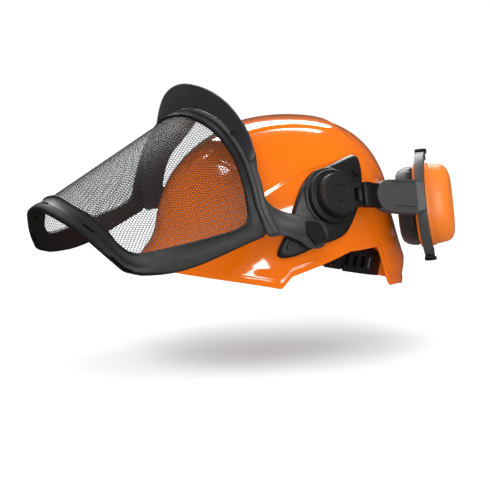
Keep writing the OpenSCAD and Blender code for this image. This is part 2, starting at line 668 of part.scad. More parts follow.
strap_t = 1.4;
strap_w = 20;
module strap(half_len, height, mid, drop) {
    e = 2.2;
    n = 40;
    function arc(k) = [for (i = [0 : n]) let (a = 180 * i / n)
        [(half_len - k) * signed_pow(cos(a), 2 / e) + mid, (height - k) * signed_pow(sin(a), 2 / e) + drop]];
    linear_extrude(strap_w, center = true) polygon(concat(arc(0), [for (i = [n : -1 : 0]) arc(strap_t)[i]]));
}
strap_z = 88;
module strap_long() { color(grey) rotate([90, 0, 90]) strap(82, 50, -band_fwd, strap_z); }
module strap_cross() {
    color(grey) translate([0, -band_fwd, 0]) rotate([90, 0, 0]) strap(74, 47.5, 0, strap_z);
}
module crown_pad() {
    color(black) translate([0, -band_fwd, strap_z + 39]) cylinder(r = 24, h = 4);
}

// blocks between the ends of the straps and the shell
module harness_clips() {
    color(black) for (f = [-90, 0, 90, 180]) {
        across = f == 0 || f == 180;
        reach_in = across ? 74.5 : 82.5;
        reach_out = (across ? shell_a : shell_b) - wall - 7;
        translate([0, -band_fwd, strap_z - 8]) rotate([0, 0, f]) translate([reach_in, -11, 0])
            cube([reach_out - reach_in, 22, 7]);
    }
}

nape_z = -2;
nape_h = 24;
nape_e = 3;
nape_a = band_a + 2.6;
nape_b = band_b + 1;
module nape_band() {
    color(black) band_frame() difference() {
        translate([0, 0, nape_z]) linear_extrude(nape_h)
            polygon(band_arc(8, 172, nape_a, nape_b, nape_e, band_t, 64));
        for (s = [-1, 1], i = [0 : 3]) translate([s > 0 ? 50 : -100, 6 + 11 * i, 4]) cube([50, 6, 11]);
    }
}
module nape_pad() {
    color(dark) band_frame() translate([0, 0, 1]) linear_extrude(nape_h - 6)
        polygon(band_arc(62, 118, nape_a - band_t - 0.4, nape_b - band_t - 0.4, nape_e, 4, 24));
}
ratchet_y = nape_b - band_fwd;
housing_d = 10;
ratchet_z = 10;
module ratchet_housing() {
    color(black) band_frame() translate([0, ratchet_y + 0.4, ratchet_z]) rotate([-90, 0, 0]) difference() {
        union() {
            cylinder(r = 14, h = housing_d);
            translate([-30, -9, 0]) cube([60, 18, housing_d - 4]);
        }
        translate([0, 0, 3]) cylinder(r = 7, h = housing_d);
        translate([0, 0, -1]) cylinder(r = 2.5 + run, h = 6);
    }
}
module ratchet_pinion() {
    teeth = 10;
    color(steel) band_frame() translate([0, ratchet_y + 0.4, ratchet_z]) rotate([-90, 0, 0]) {
        translate([0, 0, 3.4]) cylinder(r = 5, h = 4);
        for (i = [0 : teeth - 1]) rotate([0, 0, i * 360 / teeth]) translate([4.5, -0.7, 3.4])
            cube([1.9, 1.4, 4]);
        translate([0, 0, 0.3]) cylinder(r = 2.5, h = 9.9);
    }
}
knob_r = 13;
knob_ribs = 18;
module ratchet_knob() {
    color(dark) band_frame() translate([0, ratchet_y + 0.4 + housing_d + 0.4, ratchet_z]) rotate([-90, 0, 0])
        difference() {
            cylinder(r = knob_r, h = 7);
            for (i = [0 : knob_ribs - 1]) rotate([0, 0, i * 360 / knob_ribs]) translate([knob_r + 0.6, 0, -1])
                cylinder(r = 1.3, h = 9, $fn = 16);
            translate([0, 0, 5]) cylinder(r = 8, h = 3);
        }
}

shell();
side_adapter_left();
side_adapter_right();
adapter_screws();
hub_bases();
hub_spindles();
visor_bases();
visor_pins();
visor_hoop();
visor_collar();
visor_frame();
visor_mesh();
visor_seal();
visor_button_left();
visor_button_right();
turntable_left();
turntable_right();
hub_cap_left();
hub_cap_right();
fold_pin_left();
fold_pin_right();
muff_arm_left();
muff_arm_right();
muff_yoke_left();
muff_yoke_right();
fork_clips_left();
fork_clips_right();
cup_left();
cup_right();
cup_liner_left();
cup_liner_right();
cup_foam_left();
cup_foam_right();
cushion_left();
cushion_right();
headband();
brow_pad();
strap_long();
strap_cross();
crown_pad();
harness_clips();
nape_band();
nape_pad();
ratchet_housing();
ratchet_knob();
ratchet_pinion();
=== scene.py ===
"""Forestry safety helmet: the looks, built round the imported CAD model.

Lengths are in millimetres until a mesh is made. x is the wearer's left, -y forwards and z up.
"""
import json
import math

import bmesh
import bpy
import numpy as np
from mathutils import Matrix, Vector

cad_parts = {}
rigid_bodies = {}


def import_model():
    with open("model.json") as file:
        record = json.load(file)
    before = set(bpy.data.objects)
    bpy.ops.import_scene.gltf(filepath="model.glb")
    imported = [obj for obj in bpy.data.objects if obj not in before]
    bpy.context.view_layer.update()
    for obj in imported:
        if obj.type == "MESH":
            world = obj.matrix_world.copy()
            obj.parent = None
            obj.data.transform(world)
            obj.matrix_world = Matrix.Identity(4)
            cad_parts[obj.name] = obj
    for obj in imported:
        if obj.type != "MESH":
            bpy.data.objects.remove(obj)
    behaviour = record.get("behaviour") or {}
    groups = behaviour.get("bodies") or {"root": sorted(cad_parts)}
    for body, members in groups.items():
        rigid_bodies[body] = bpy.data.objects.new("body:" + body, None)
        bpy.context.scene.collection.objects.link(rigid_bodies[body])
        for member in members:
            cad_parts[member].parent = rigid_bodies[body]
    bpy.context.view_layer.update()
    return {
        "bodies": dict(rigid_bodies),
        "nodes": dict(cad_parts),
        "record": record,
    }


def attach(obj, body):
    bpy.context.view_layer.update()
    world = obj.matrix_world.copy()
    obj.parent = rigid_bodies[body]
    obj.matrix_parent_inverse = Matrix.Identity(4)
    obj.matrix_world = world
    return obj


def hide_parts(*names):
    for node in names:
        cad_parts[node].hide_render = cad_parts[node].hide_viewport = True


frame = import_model()
MM = 0.001

# ---------- driving dimensions, as in the CAD source ----------
SHELL_A, SHELL_B, SHELL_FWD, CROWN_Z, WALL = 107.0, 122.0, 20.0, 169.0, 3.0
PEAK_OUT, LIP_H, NAPE_OUT, CREST_H = 20.0, 8.0, 15.5, 2.0
SPRING_Z, DOME_Q, CROWN_BACK = 50.0, 2.3, 14.0
FLARE_TOP_Z, NAPE_TOP_Z, NAPE_WIDE_Z = 66.0, 77.0, 28.0
TAB_Z, FRONT_Z, ARCH_Z, ARCH_FRONT_Z, TONGUE_Z = 17.0, 32.0, 48.0, 29.0, 6.0
PLATE_GAP, PLATE_T = 0.5, 4.0
HOOP_W = 12.0
HOOP_KEYS = [(0, -115.7, 179), (46, -114.4, 170), (78, -111.5, 147), (96, -111, 121), (106.5, -109.5, 95),
             (113, -100.5, 72)]
CHIN_KEYS = [(0, -287, 95), (30, -281, 88.5), (58, -264, 72), (80, -242, 52), (88, -229, 42)]
FRAME_T, BELLY = 4.0, 9.0
COLLAR_END, COLLAR_H = 0.48, 24.0
SEAL_END, SEAL_D, SEAL_SIDE_D, SEAL_IN, SEAL_ROOT, SEAL_T = 0.92, 33.0, 18.0, 10.0, 3.8, 1.6
HUB = np.array([120.0, -22.0, 107.0])
HUB_TILT, ARM_SLOPE, ARM_FOLD, FORK_BEND = map(math.radians, (17, 5, 6, 43))
FOLD_X, FOLD_Z, ARM_LEN, FORK_Z, FORK_R = 26.0, -7.5, 101.0, -4.0, 48.5
ARM_H, ARM_Z0, ARM_Z1, ARM_END, KNUCKLE_R = 23.0, -9.0, -4.0, 90.0, 4.0
VISOR_PIVOT = np.array([116.0, -50.5, 70.0])
CUP_H, CUP_W, CUP_D, CUP_RIM_Z, CUP_WALL, CUSHION_T = 83.5, 76.0, 34.0, -8.0, 2.6, 19.0
BAND_A, BAND_B, BAND_H, BAND_T, BAND_Z, BAND_SLOPE = 81.0, 100.0, 26.0, 2.0, 28.0, math.radians(12)
STRAP_Z = 88.0
# exponents of the rounded-square plans of the cup, the headband, the nape band and the strap arcs
CUP_E, HEAD_E, NAPE_E, STRAP_E = 2.7, 2.3, 3.0, 2.2


# ---------- small maths ----------
def smooth(t):
    """Eases from 0 to 1 as t does, and stays there outside."""
    k = np.clip(t, 0, 1)
    return k * k * (3 - 2 * k)


def unit(v):
    """Vectors at length 1."""
    return v / np.linalg.norm(v, axis=-1, keepdims=True)


def catmull_rom(p0, p1, p2, p3, t):
    """Point at t in 0..1 between p1 and p2."""
    return 0.5 * (2 * p1 + (p2 - p0) * t + (2 * p0 - 5 * p1 + 4 * p2 - p3) * t ** 2
                  + (3 * p1 - p0 - 3 * p2 + p3) * t ** 3)


def along(keys, t):
    """Points at t in 0..1 on an open curve through the keys; one that starts at x = 0 is level there."""
    k = np.array(keys, float)
    n = len(k) - 1
    s = np.clip(np.asarray(t, float), 0, 0.99999) * n
    i = np.floor(s).astype(int)
    f = (s - i)[..., None]
    before = np.concatenate([[-k[1][0]], k[1][1:]]) if k[0][0] == 0 else 2 * k[0] - k[1]
    ext = np.vstack([before, k, 2 * k[n] - k[n - 1]])
    p0, p1, p2, p3 = ext[i], ext[i + 1], ext[i + 2], ext[i + 3]
    return catmull_rom(p0, p1, p2, p3, f)


def closed_curve(keys, steps):
    """Points on a closed curve through the keys, with the same number of steps from each key to the next."""
    k = np.array(keys, float)
    t = (np.arange(steps) / steps)[None, :, None]
    around = (np.roll(k, -shift, 0)[:, None, :] for shift in (-1, 0, 1, 2))
    return catmull_rom(*around, t).reshape(-1, k.shape[1])


def signed_pow(c, p):
    """Power that keeps the sign, for rounded squares."""
    return np.sign(c) * np.abs(c) ** p


def turn(axis, angle):
    """Rotation matrix about an axis."""
    return np.array(Matrix.Rotation(angle, 3, Vector(axis)))


# ---------- meshes ----------
def add_object(name, verts, faces, smooth_angle=35):
    """Mesh object from points in millimetres."""
    mesh = bpy.data.meshes.new(name)
    mesh.from_pydata((np.asarray(verts, float) * MM).tolist(), [], [list(map(int, f)) for f in faces])
    mesh.validate()
    obj = bpy.data.objects.new(name, mesh)
    bpy.context.scene.collection.objects.link(obj)
    tidy(obj, smooth_angle)
    return obj


def tidy(obj, smooth_angle=35):
    """Outward normals, and smooth shading between faces that meet at less than the angle."""
    bm = bmesh.new()
    bm.from_mesh(obj.data)
    bmesh.ops.recalc_face_normals(bm, faces=bm.faces)
    for f in bm.faces:
        f.smooth = True
    limit = math.radians(smooth_angle)
    for e in bm.edges:
        e.smooth = len(e.link_faces) == 2 and e.calc_face_angle(0) < limit
    bm.to_mesh(obj.data)
    bm.free()


def bake(obj):
    """Applies every modifier."""
    graph = bpy.context.evaluated_depsgraph_get()
    mesh = bpy.data.meshes.new_from_object(obj.evaluated_get(graph))
    obj.modifiers.clear()
    obj.data = mesh


def modify(obj, kind, **settings):
    """Adds a modifier with its settings."""
    m = obj.modifiers.new(kind.title(), kind)
    for k, v in settings.items():
        setattr(m, k, v)
    return m


def bevel(obj, width, angle):
    """Rounds the edges that turn by more than the angle in degrees."""
    modify(obj, "BEVEL", width=width * MM, segments=2, limit_method="ANGLE", angle_limit=math.radians(angle))


def carve(obj, cutter):
    """Cuts one object out of another and removes the cutter."""
    modify(obj, "BOOLEAN", operation="DIFFERENCE", solver="EXACT").object = cutter
    bake(obj)
    bpy.data.objects.remove(cutter)


def ring_faces(m, n, loop_rings=False, loop_points=True):
    """Quads between m rings of n points each."""
    faces = []
    for i in range(m if loop_rings else m - 1):
        for j in range(n if loop_points else n - 1):
            i1, j1 = (i + 1) % m, (j + 1) % n
            faces.append((i * n + j, i * n + j1, i1 * n + j1, i1 * n + j))
    return faces


def loft(name, rings, closed=False, smooth_angle=35):
    """Skin through rings of points; a loft that isn't closed gets a fan at each end."""
    r = np.asarray(rings, float)
    m, n, _ = r.shape
    faces = ring_faces(m, n, closed)
    verts = r.reshape(-1, 3)
    if not closed:
        verts = np.vstack([verts, r[0].mean(0), r[-1].mean(0)])
        for j in range(n):
            faces.append((m * n, (j + 1) % n, j))
            faces.append((m * n + 1, (m - 1) * n + j, (m - 1) * n + (j + 1) % n))
    return add_object(name, verts, faces, smooth_angle)


def join(name, parts):
    """One object from several, keeping the first one's place."""
    bm = bmesh.new()
    for p in parts:
        bm.from_mesh(p.data)
        bpy.data.objects.remove(p)
    mesh = bpy.data.meshes.new(name)
    bm.to_mesh(mesh)
    bm.free()
    obj = bpy.data.objects.new(name, mesh)
    bpy.context.scene.collection.objects.link(obj)
    tidy(obj)
    return obj


def mirrored(obj, name):
    """Copy of an unplaced object on the wearer's other side."""
    mesh = obj.data.copy()
    mesh.transform(Matrix.Scale(-1, 4, (1, 0, 0)))
    mesh.flip_normals()
    copy = bpy.data.objects.new(name, mesh)
    bpy.context.scene.collection.objects.link(copy)
    return copy


def place(obj, body, slot, *nodes, look=None):
    """Gives a piece its body, its slot's material and the CAD nodes that it stands for."""
    obj.data.materials.clear()
    obj.data.materials.append(MATS[look or slot])
    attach(obj, body)
    if nodes:
        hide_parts(*nodes)
    return obj


# ---------- materials ----------
COLOUR_A, COLOUR_B, COLOUR_OUT = 6, 7, 2    # sockets of the Mix node when it mixes colours
GRAIN, WIDE_GRAIN = 900.0, 260.0            # scale of the surface noise, per metre
SHELL_EDGE = 0.0008


def node(tree, kind, **inputs):
    """New node; each keyword sets an input of that name, or else the node's own property."""
    n = tree.nodes.new(kind)
    for k, v in inputs.items():
        if k in n.inputs:
            n.inputs[k].default_value = v
        else:
            setattr(n, k, v)
    return n


def moulded(name, color, rough, coat=0.0, grain=GRAIN, grain_depth=0.00002, blotch=0.06, edge_highlight=0.12,
            edge=0.0006, metallic=0.0, sheen=0.0, gloss=0.5):
    """Moulded plastic or metal: uneven roughness, fine surface grain, and softened edges with a painted
    highlight along them.

    The grain's depth and the edge are in metres and its scale is per metre, as the nodes want them.
    """
    mat = bpy.data.materials.new(name)
    mat.use_nodes = True
    t = mat.node_tree
    t.nodes.clear()
    out = node(t, "ShaderNodeOutputMaterial")
    p = node(t, "ShaderNodeBsdfPrincipled", **{
        "Metallic": metallic, "Coat Weight": coat, "Coat Roughness": 0.06, "Specular IOR Level": gloss,
        "Sheen Weight": sheen})
    co = node(t, "ShaderNodeTexCoord")
    link = t.links.new
    # slow colour drift
    drift = node(t, "ShaderNodeTexNoise", Scale=18.0, Detail=3.0)
    link(co.outputs["Object"], drift.inputs["Vector"])
    shade = node(t, "ShaderNodeHueSaturation", Color=(*color, 1))
    ramp = node(t, "ShaderNodeMapRange", **{"To Min": 1 - blotch, "To Max": 1 + blotch})
    link(drift.outputs["Fac"], ramp.inputs["Value"])
    link(ramp.outputs["Result"], shade.inputs["Value"])
    # edges: a bevelled normal, and a painted highlight, a lighter line where the surface turns fastest
    rounding = node(t, "ShaderNodeBevel", Radius=edge)
    rounding.samples = 4
    geo = node(t, "ShaderNodeNewGeometry")
    dot = node(t, "ShaderNodeVectorMath", operation="DOT_PRODUCT")
    link(rounding.outputs["Normal"], dot.inputs[0])
    link(geo.outputs["Normal"], dot.inputs[1])
    edge_highlight_mask = node(t, "ShaderNodeMapRange", **{"From Min": 0.995, "From Max": 0.8})
    link(dot.outputs["Value"], edge_highlight_mask.inputs["Value"])
    # painted highlight: the colour along the edges is mixed towards a lighter one, whatever the light
    highlight_strength = node(t, "ShaderNodeMath", operation="MULTIPLY")
    highlight_strength.inputs[1].default_value = edge_highlight
    link(edge_highlight_mask.outputs["Result"], highlight_strength.inputs[0])
    mix = node(t, "ShaderNodeMix", data_type="RGBA")
    highlight_colour = [min(1.0, c * 1.5 + 0.05) for c in color]
    mix.inputs[COLOUR_B].default_value = (*highlight_colour, 1)
    link(highlight_strength.outputs["Value"], mix.inputs["Factor"])
    link(shade.outputs["Color"], mix.inputs[COLOUR_A])
    link(mix.outputs[COLOUR_OUT], p.inputs["Base Color"])
    # roughness: fine scuffs
    scuff = node(t, "ShaderNodeTexNoise", Scale=140.0, Detail=5.0)
    link(co.outputs["Object"], scuff.inputs["Vector"])
    rmap = node(t, "ShaderNodeMapRange", **{"To Min": rough * 0.82, "To Max": rough * 1.22})
    link(scuff.outputs["Fac"], rmap.inputs["Value"])
    link(rmap.outputs["Result"], p.inputs["Roughness"])
    # grain of the mould
    grain_tex = node(t, "ShaderNodeTexNoise", Scale=grain, Detail=2.0)
    link(co.outputs["Object"], grain_tex.inputs["Vector"])
    bump = node(t, "ShaderNodeBump", Distance=grain_depth, Strength=1.0)
    link(grain_tex.outputs["Fac"], bump.inputs["Height"])
    link(rounding.outputs["Normal"], bump.inputs["Normal"])
    link(bump.outputs["Normal"], p.inputs["Normal"])
    link(p.outputs["BSDF"], out.inputs["Surface"])
    return mat


def woven(name, color, pitch=1400.0, depth=0.00025, rough=0.85):
    """Textile: crossed yarns as bump, with a soft sheen."""
    # a weak painted highlight along the edges
    mat = moulded(name, color, rough, grain=pitch, grain_depth=depth, blotch=0.15, edge_highlight=0.05, sheen=0.4)
    t = mat.node_tree
    p = next(n for n in t.nodes if n.type == "BSDF_PRINCIPLED")
    co = next(n for n in t.nodes if n.type == "TEX_COORD")
    bump = next(n for n in t.nodes if n.type == "BUMP")
    yarns = []
    for direction in ("X", "DIAGONAL"):
        w = node(t, "ShaderNodeTexWave", Scale=pitch * 0.4, Distortion=0.6)
        w.bands_direction = direction
        t.links.new(co.outputs["Object"], w.inputs["Vector"])
        yarns.append(w)
    both = node(t, "ShaderNodeMath", operation="MAXIMUM")
    t.links.new(yarns[0].outputs["Fac"], both.inputs[0])
    t.links.new(yarns[1].outputs["Fac"], both.inputs[1])
    t.links.new(both.outputs["Value"], bump.inputs["Height"])
    p.inputs["Specular IOR Level"].default_value = 0.25
    return mat


# in each look, the amount of lighter colour along the edges is a painted highlight
MOULDED = {
    "shell_orange": dict(color=(0.9, 0.168, 0.002), rough=0.12, coat=1.0, grain=WIDE_GRAIN,
                         grain_depth=0.000012, blotch=0.02, edge_highlight=0.1, edge=SHELL_EDGE, gloss=0.3),
    "cup_orange": dict(color=(0.88, 0.2, 0.006), rough=0.5, coat=0.05, grain=WIDE_GRAIN,
                       grain_depth=0.000012, blotch=0.03, edge_highlight=0.1, edge=SHELL_EDGE, gloss=0.3),
    "black_plastic": dict(color=(0.008, 0.008, 0.009), rough=0.5, gloss=0.25),
    "dark_plastic": dict(color=(0.01, 0.01, 0.011), rough=0.45, gloss=0.35),
    "arm_plastic": dict(color=(0.04, 0.04, 0.041), rough=0.5, gloss=0.35),
    "grey_plastic": dict(color=(0.055, 0.055, 0.056), rough=0.5, gloss=0.35),
    "collar_rubber": dict(color=(0.012, 0.012, 0.013), rough=0.55, grain=500.0, grain_depth=0.00003,
                          sheen=0.1),
    "mesh_steel": dict(color=(0.022, 0.022, 0.023), rough=0.5, grain=700.0, metallic=0.3, edge=0.0001),
    "steel": dict(color=(0.55, 0.55, 0.57), rough=0.3, metallic=1.0),
    "cushion_vinyl": dict(color=(0.014, 0.014, 0.015), rough=0.5, grain=420.0, grain_depth=0.00012,
                          sheen=0.2),
}
WOVEN = {
    "foam": dict(color=(0.02, 0.02, 0.021), pitch=500.0),
    "webbing": dict(color=(0.09, 0.09, 0.095), pitch=900.0),
    "pad_fabric": dict(color=(0.03, 0.03, 0.033), pitch=1100.0),
}
MATS = {name: moulded(name, **look) for name, look in MOULDED.items()}
MATS.update({name: woven(name, **look) for name, look in WOVEN.items()})

# ---------- shell ----------
# Plan angles in degrees: 0 at the wearer's left, -90 at the front, 90 at the back. Both sides are alike, so
# an angle is first folded into -90..90. The rim runs from the peak's tab up a step and a ramp to the ear
# arch, and down again to the nape.
TAB_A, STEP_A, RAMP_A = -27, -20, 9
ARCH_A, ARCH_SPAN, TONGUE_A, TONGUE_SPAN = 29, 15, 44, 30
NAPE_A, NAPE_SPAN, NAPE_TUCK = 25, 50, 0.12
FLARE_POWER, FLARE_CAP = 1.2, 9
CREST_HALF, CREST_TAPER, CREST_EDGE, CREST_END_Y, CREST_END = 48.0, 0.36, 4.0, 34.0, 5.0
CREST_FOOT_Z, CREST_RISE = 95.0, 40.0
SIDE_STEP, SIDE_STEP_H, SIDE_FADE, SIDE_IN_X = 1.3, 3.0, 26.0, 40.0
LIP_STEP, LIP_Z0, LIP_Z1, LIP_FADE, LIP_TOP_Z = 0.9, 5.5, 8.0, 9.0, 50.0
# the crease along the side, as (y, z)
CREASE = [(-110, 90), (-77, 111), (-61, 119.6), (-44, 126), (-32, 129), (0, 134.5), (30, 139), (43, 136),
          (51, 130), (62, 117.5), (80, 96)]


def fold_phi(phi):
    """Plan angle on the left half that lies as far forward or back."""
    return np.where(phi > 90, 180 - phi, np.where(phi < -90, -180 - phi, phi))


def rim_z(phi):
    """Height of the rim."""
    f = fold_phi(phi)
    peak = FRONT_Z - (FRONT_Z - TAB_Z) * ((f + 90) / (TAB_A + 90)) ** 2
    step = TAB_Z + (ARCH_FRONT_Z - TAB_Z) * smooth((f - TAB_A) / (STEP_A - TAB_A))
    ramp = ARCH_FRONT_Z + (ARCH_Z - ARCH_FRONT_Z) * (f - STEP_A) / (RAMP_A - STEP_A)
    tongue = (TONGUE_Z * (1 - smooth((f - TONGUE_A) / TONGUE_SPAN))
              + (ARCH_Z - TONGUE_Z) * (1 - smooth((f - ARCH_A) / ARCH_SPAN)))
    return np.select([f < TAB_A, f < STEP_A, f < RAMP_A], [peak, step, ramp], tongue)


def dome_h(z, g):
    """Scale of the plan at height z, from 1 down to 0 at the crown, and how far up the dome z is."""
    k = np.clip((z - SPRING_Z) / (CROWN_Z + g - SPRING_Z), 0, 1)
    return (1 - k ** DOME_Q) ** (1 / DOME_Q), k


def flare(phi, z):
    """How far the peak and the nape stand out from the dome's plan."""
    f = fold_phi(phi)
    t = np.clip((STEP_A - f) / (STEP_A + 90), 0, 1)
    s = np.clip((FLARE_TOP_Z - z) / (FLARE_TOP_Z - rim_z(phi) - LIP_H), 0, None) ** 2
    peak = PEAK_OUT * np.sin(np.pi / 2 * t) ** FLARE_POWER * s / (1 + s ** FLARE_CAP) ** (1 / FLARE_CAP)
    high = np.clip(1 - (z - NAPE_WIDE_Z) / (NAPE_TOP_Z - NAPE_WIDE_Z), 0, 1) ** FLARE_POWER
    low = 1 - NAPE_TUCK * (np.clip(NAPE_WIDE_Z - z, 0, None) / NAPE_WIDE_Z) ** 2
    nape = NAPE_OUT * smooth((f - NAPE_A) / NAPE_SPAN) * np.where(z > NAPE_WIDE_Z, high, low)
    return peak + nape


def plan_y(k):
    """Where the plan's centre is at k of the dome's height."""
    return -SHELL_FWD + CROWN_BACK * k ** 2


def body_line(y):
    """Height of the crease along the shell's side, which rises from the temple and drops behind the crest."""
    return np.interp(y, *zip(*CREASE))


def skin(phi, z, g, detail=False):
    """Points of the shell's surface at plan angle phi and height z, moved outwards by g.

    Detail ends the crest behind the crown, and adds the crease and the fold above the lip.
    """
    h, k = dome_h(z, g)
    f = flare(phi, z) + g
    a = np.radians(phi)
    x = (SHELL_A + f) * np.cos(a) * h
    y = plan_y(k) + (SHELL_B + f) * np.sin(a) * h
    across = (CREST_HALF + CREST_TAPER * y - np.abs(x)) / CREST_EDGE
    crest = CREST_H * smooth(across) * smooth((z - CREST_FOOT_Z) / CREST_RISE)
    if detail:
        crest = crest * smooth((CREST_END_Y - y) / CREST_END)
        under, over = body_line(y) - z, z - rim_z(phi)
        step = SIDE_STEP * smooth(under / SIDE_STEP_H) * (1 - smooth((under - 2 * SIDE_STEP_H) / SIDE_FADE))
        step = step * smooth((np.abs(x) - SIDE_IN_X) / 15)
        lip = LIP_STEP * smooth((over - LIP_Z0) / 1.6) * (1 - smooth((over - LIP_Z1) / LIP_FADE))
        lip = lip * smooth((LIP_TOP_Z - z) / 6)
        n = unit(np.stack([np.cos(a) / SHELL_A, np.sin(a) / SHELL_B], -1))
        x, y = x - (step + lip) * n[..., 0], y - (step + lip) * n[..., 1]
    return np.stack([x, y, z + crest], -1)


def side_x(y, z, g):
    """How far out the shell's side is at y and z, moved outwards by g."""
    h, k = dome_h(z, g)
    s = (y - plan_y(k)) / (SHELL_B + g)
    phi = np.degrees(np.arcsin(np.clip(s / h, -1, 1)))
    return (SHELL_A + g) * np.sqrt(np.clip(h * h - s * s, 0, None)) + flare(phi, z) * np.cos(np.radians(phi))


def build_shell():
    """Closed skin: the inside, a rounded rim and the outside, each a stack of rings."""
    cols, low, dome = 400, 40, 110
    last = math.radians(88.6)    # the dome's rings stop short of the crown, which a fan closes
    phi = -180 + (np.arange(cols) + 0.5) * 360 / cols
    rim = rim_z(phi)

    def rings(g):
        rows = []
        for k in np.linspace(0, 1, low, endpoint=False):
            rows.append(skin(phi, rim + (SPRING_Z - rim) * k, g, g == 0))
        for a in np.linspace(0, last, dome):
            z = SPRING_Z + (CROWN_Z + g - SPRING_Z) * math.sin(a) ** (2 / DOME_Q)
            rows.append(skin(phi, z + 0 * phi, g, g == 0))
        return rows

    edge = []
    for a in np.linspace(0, math.pi, 7)[1:-1]:
        ring = skin(phi, rim, -WALL / 2 * (1 + math.cos(a)))
        ring[:, 2] -= math.sin(a)
        edge.append(ring)
    inner, outer = rings(-WALL), rings(0)
    obj = loft("shell_skin", inner[::-1] + edge + outer, smooth_angle=60)
    place(obj, "helmet", "shell_orange", "shell")


# ---------- side adapters and bosses ----------
# the plate's outline, as (y, z)
ADAPTER_KEYS = [(21, 137), (24, 125), (15, 101), (1, 78), (-13, 64), (-41, 56), (-66, 47),
                (-79, 49), (-71, 70), (-58, 100), (-43, 119), (-18, 129)]
ADAPTER_MID = np.array([-28.0, 95.0])


def on_side(p, g):
    """Points (y, z) set on the shell's left side, g above it."""
    return np.stack([side_x(p[..., 0], p[..., 1], g), p[..., 0], p[..., 1]], -1)


def build_adapter():
    """Plate that follows the shell: rings out along its back, over a rounded edge, and in along its face."""
    outline = closed_curve(ADAPTER_KEYS, 14)
    flat = np.linspace(0.03, 0.93, 22)
    edge = [(0.985, 0), (1, 0.5 / PLATE_T), (1, 0.45), (0.992, 0.75), (0.975, 0.93)]
    rows = [(k, 0) for k in flat] + edge + [(k, 1) for k in flat[::-1]]
    rings = [on_side(ADAPTER_MID + (outline - ADAPTER_MID) * k, PLATE_GAP + PLATE_T * h) for k, h in rows]
    return loft("adapter_skin_left", rings, smooth_angle=50)


def lathe(name, origin, rotation, profile, turns=96, smooth_angle=30):
    """Revolves (radius, height) pairs about the local z axis."""
    a = np.linspace(0, 2 * math.pi, turns, endpoint=False)
    rings = [np.stack([r * np.cos(a), r * np.sin(a), h + 0 * a], -1) for r, h in profile]
    return loft(name, [ring @ rotation.T + origin for ring in rings], smooth_angle=smooth_angle)


BOSS_X = 111.2
# frames of the hub, the arm, the folded arm and the fork: x along the parked arm, y across it and z out
HUB_R = turn((0, 1, 0), -HUB_TILT) @ turn((0, 0, 1), math.pi / 2) @ turn((1, 0, 0), math.pi / 2)
ARM_R = HUB_R @ turn((0, 0, 1), -ARM_SLOPE)
FOLD_R = ARM_R @ turn((0, 1, 0), ARM_FOLD)
FOLD_PT = HUB + ARM_R @ np.array([FOLD_X, 0, FOLD_Z])
FORK_ROT = FOLD_R @ turn((0, 1, 0), FORK_BEND)
FORK_PT = FOLD_PT + FOLD_R @ np.array([ARM_LEN - FOLD_X, 0, FORK_Z - FOLD_Z])
CUP_PT = FORK_PT + FORK_ROT @ np.array([FORK_R, 0, 0])
SIDE_R = turn((0, 1, 0), math.pi / 2)


def build_hub_boss():
    """Stepped boss under the muff's hub, with a groove round its face."""
    foot, step, top = -26.0, -19.5, -12.0
    profile = [(1, foot), (29, foot), (29, step), (28.3, step + 0.9), (26.6, step + 1.3), (26.2, step + 2.1),
               (26.2, top - 1), (25.4, top - 0.2), (24, top), (23.2, top - 0.5), (22.6, top - 0.5), (22, top),
               (8, top), (1, top)]
    return lathe("hub_boss_left", HUB, HUB_R, profile)


def build_visor_boss():
    """Boss under the eye of the visor's arm."""
    profile = [(1, -12), (14, -12), (13.6, -2), (13, -0.4), (12.4, 0), (1, 0)]
    return lathe("visor_boss_left", np.array([BOSS_X, *VISOR_PIVOT[1:]]), SIDE_R, profile)


# ---------- visor ----------
# The visor's surface has u from -1 at the right foot of the hoop to 1 at the left, and v from 0 at the hoop
# to 1 at the chin.
HOOP_BACK = unit(np.array([0, 1, 0.15]))
HOOP_OUT, HOOP_IN = 3.4, 2.4
CHIN_EASE = 1.45


def on_both_sides(keys, u):
    """Point at u on a curve given by its left half."""
    u = np.asarray(u, float)
    p = along(keys, np.abs(u))
    return np.stack([p[..., 0] * np.where(u < 0, -1, 1), p[..., 1], p[..., 2]], -1)


def hoop_pt(u):
    """Point of the hoop's front edge."""
    return on_both_sides(HOOP_KEYS, u)


def sheet_pt(u, v):
    """Straight from the hoop to the chin, with a belly that sags at the sides."""
    u, v = np.broadcast_arrays(np.asarray(u, float), np.asarray(v, float))
    p = hoop_pt(u) * (1 - v[..., None]) + on_both_sides(CHIN_KEYS, u) * v[..., None]
    p[..., 2] -= BELLY * smooth((np.abs(u) - 0.8) / 0.2) * np.sin(np.pi * np.clip(v, 0, 1) ** CHIN_EASE)
    return p


def sheet_normal(u, v):
    """Normal that points to the wearer's side of the sheet."""
    e = 0.01
    du = sheet_pt(np.minimum(1, u + e), v) - sheet_pt(np.maximum(-1, u - e), v)
    dv = sheet_pt(u, np.minimum(1, v + e)) - sheet_pt(u, np.maximum(0, v - e))
    return unit(np.cross(du, dv))


def hoop_out(u):
    """Direction away from the face, square to the hoop and to its width."""
    d = hoop_pt(np.minimum(1, u + 0.02)) - hoop_pt(np.maximum(-1, u - 0.02))
    return unit(np.cross(d, HOOP_BACK))


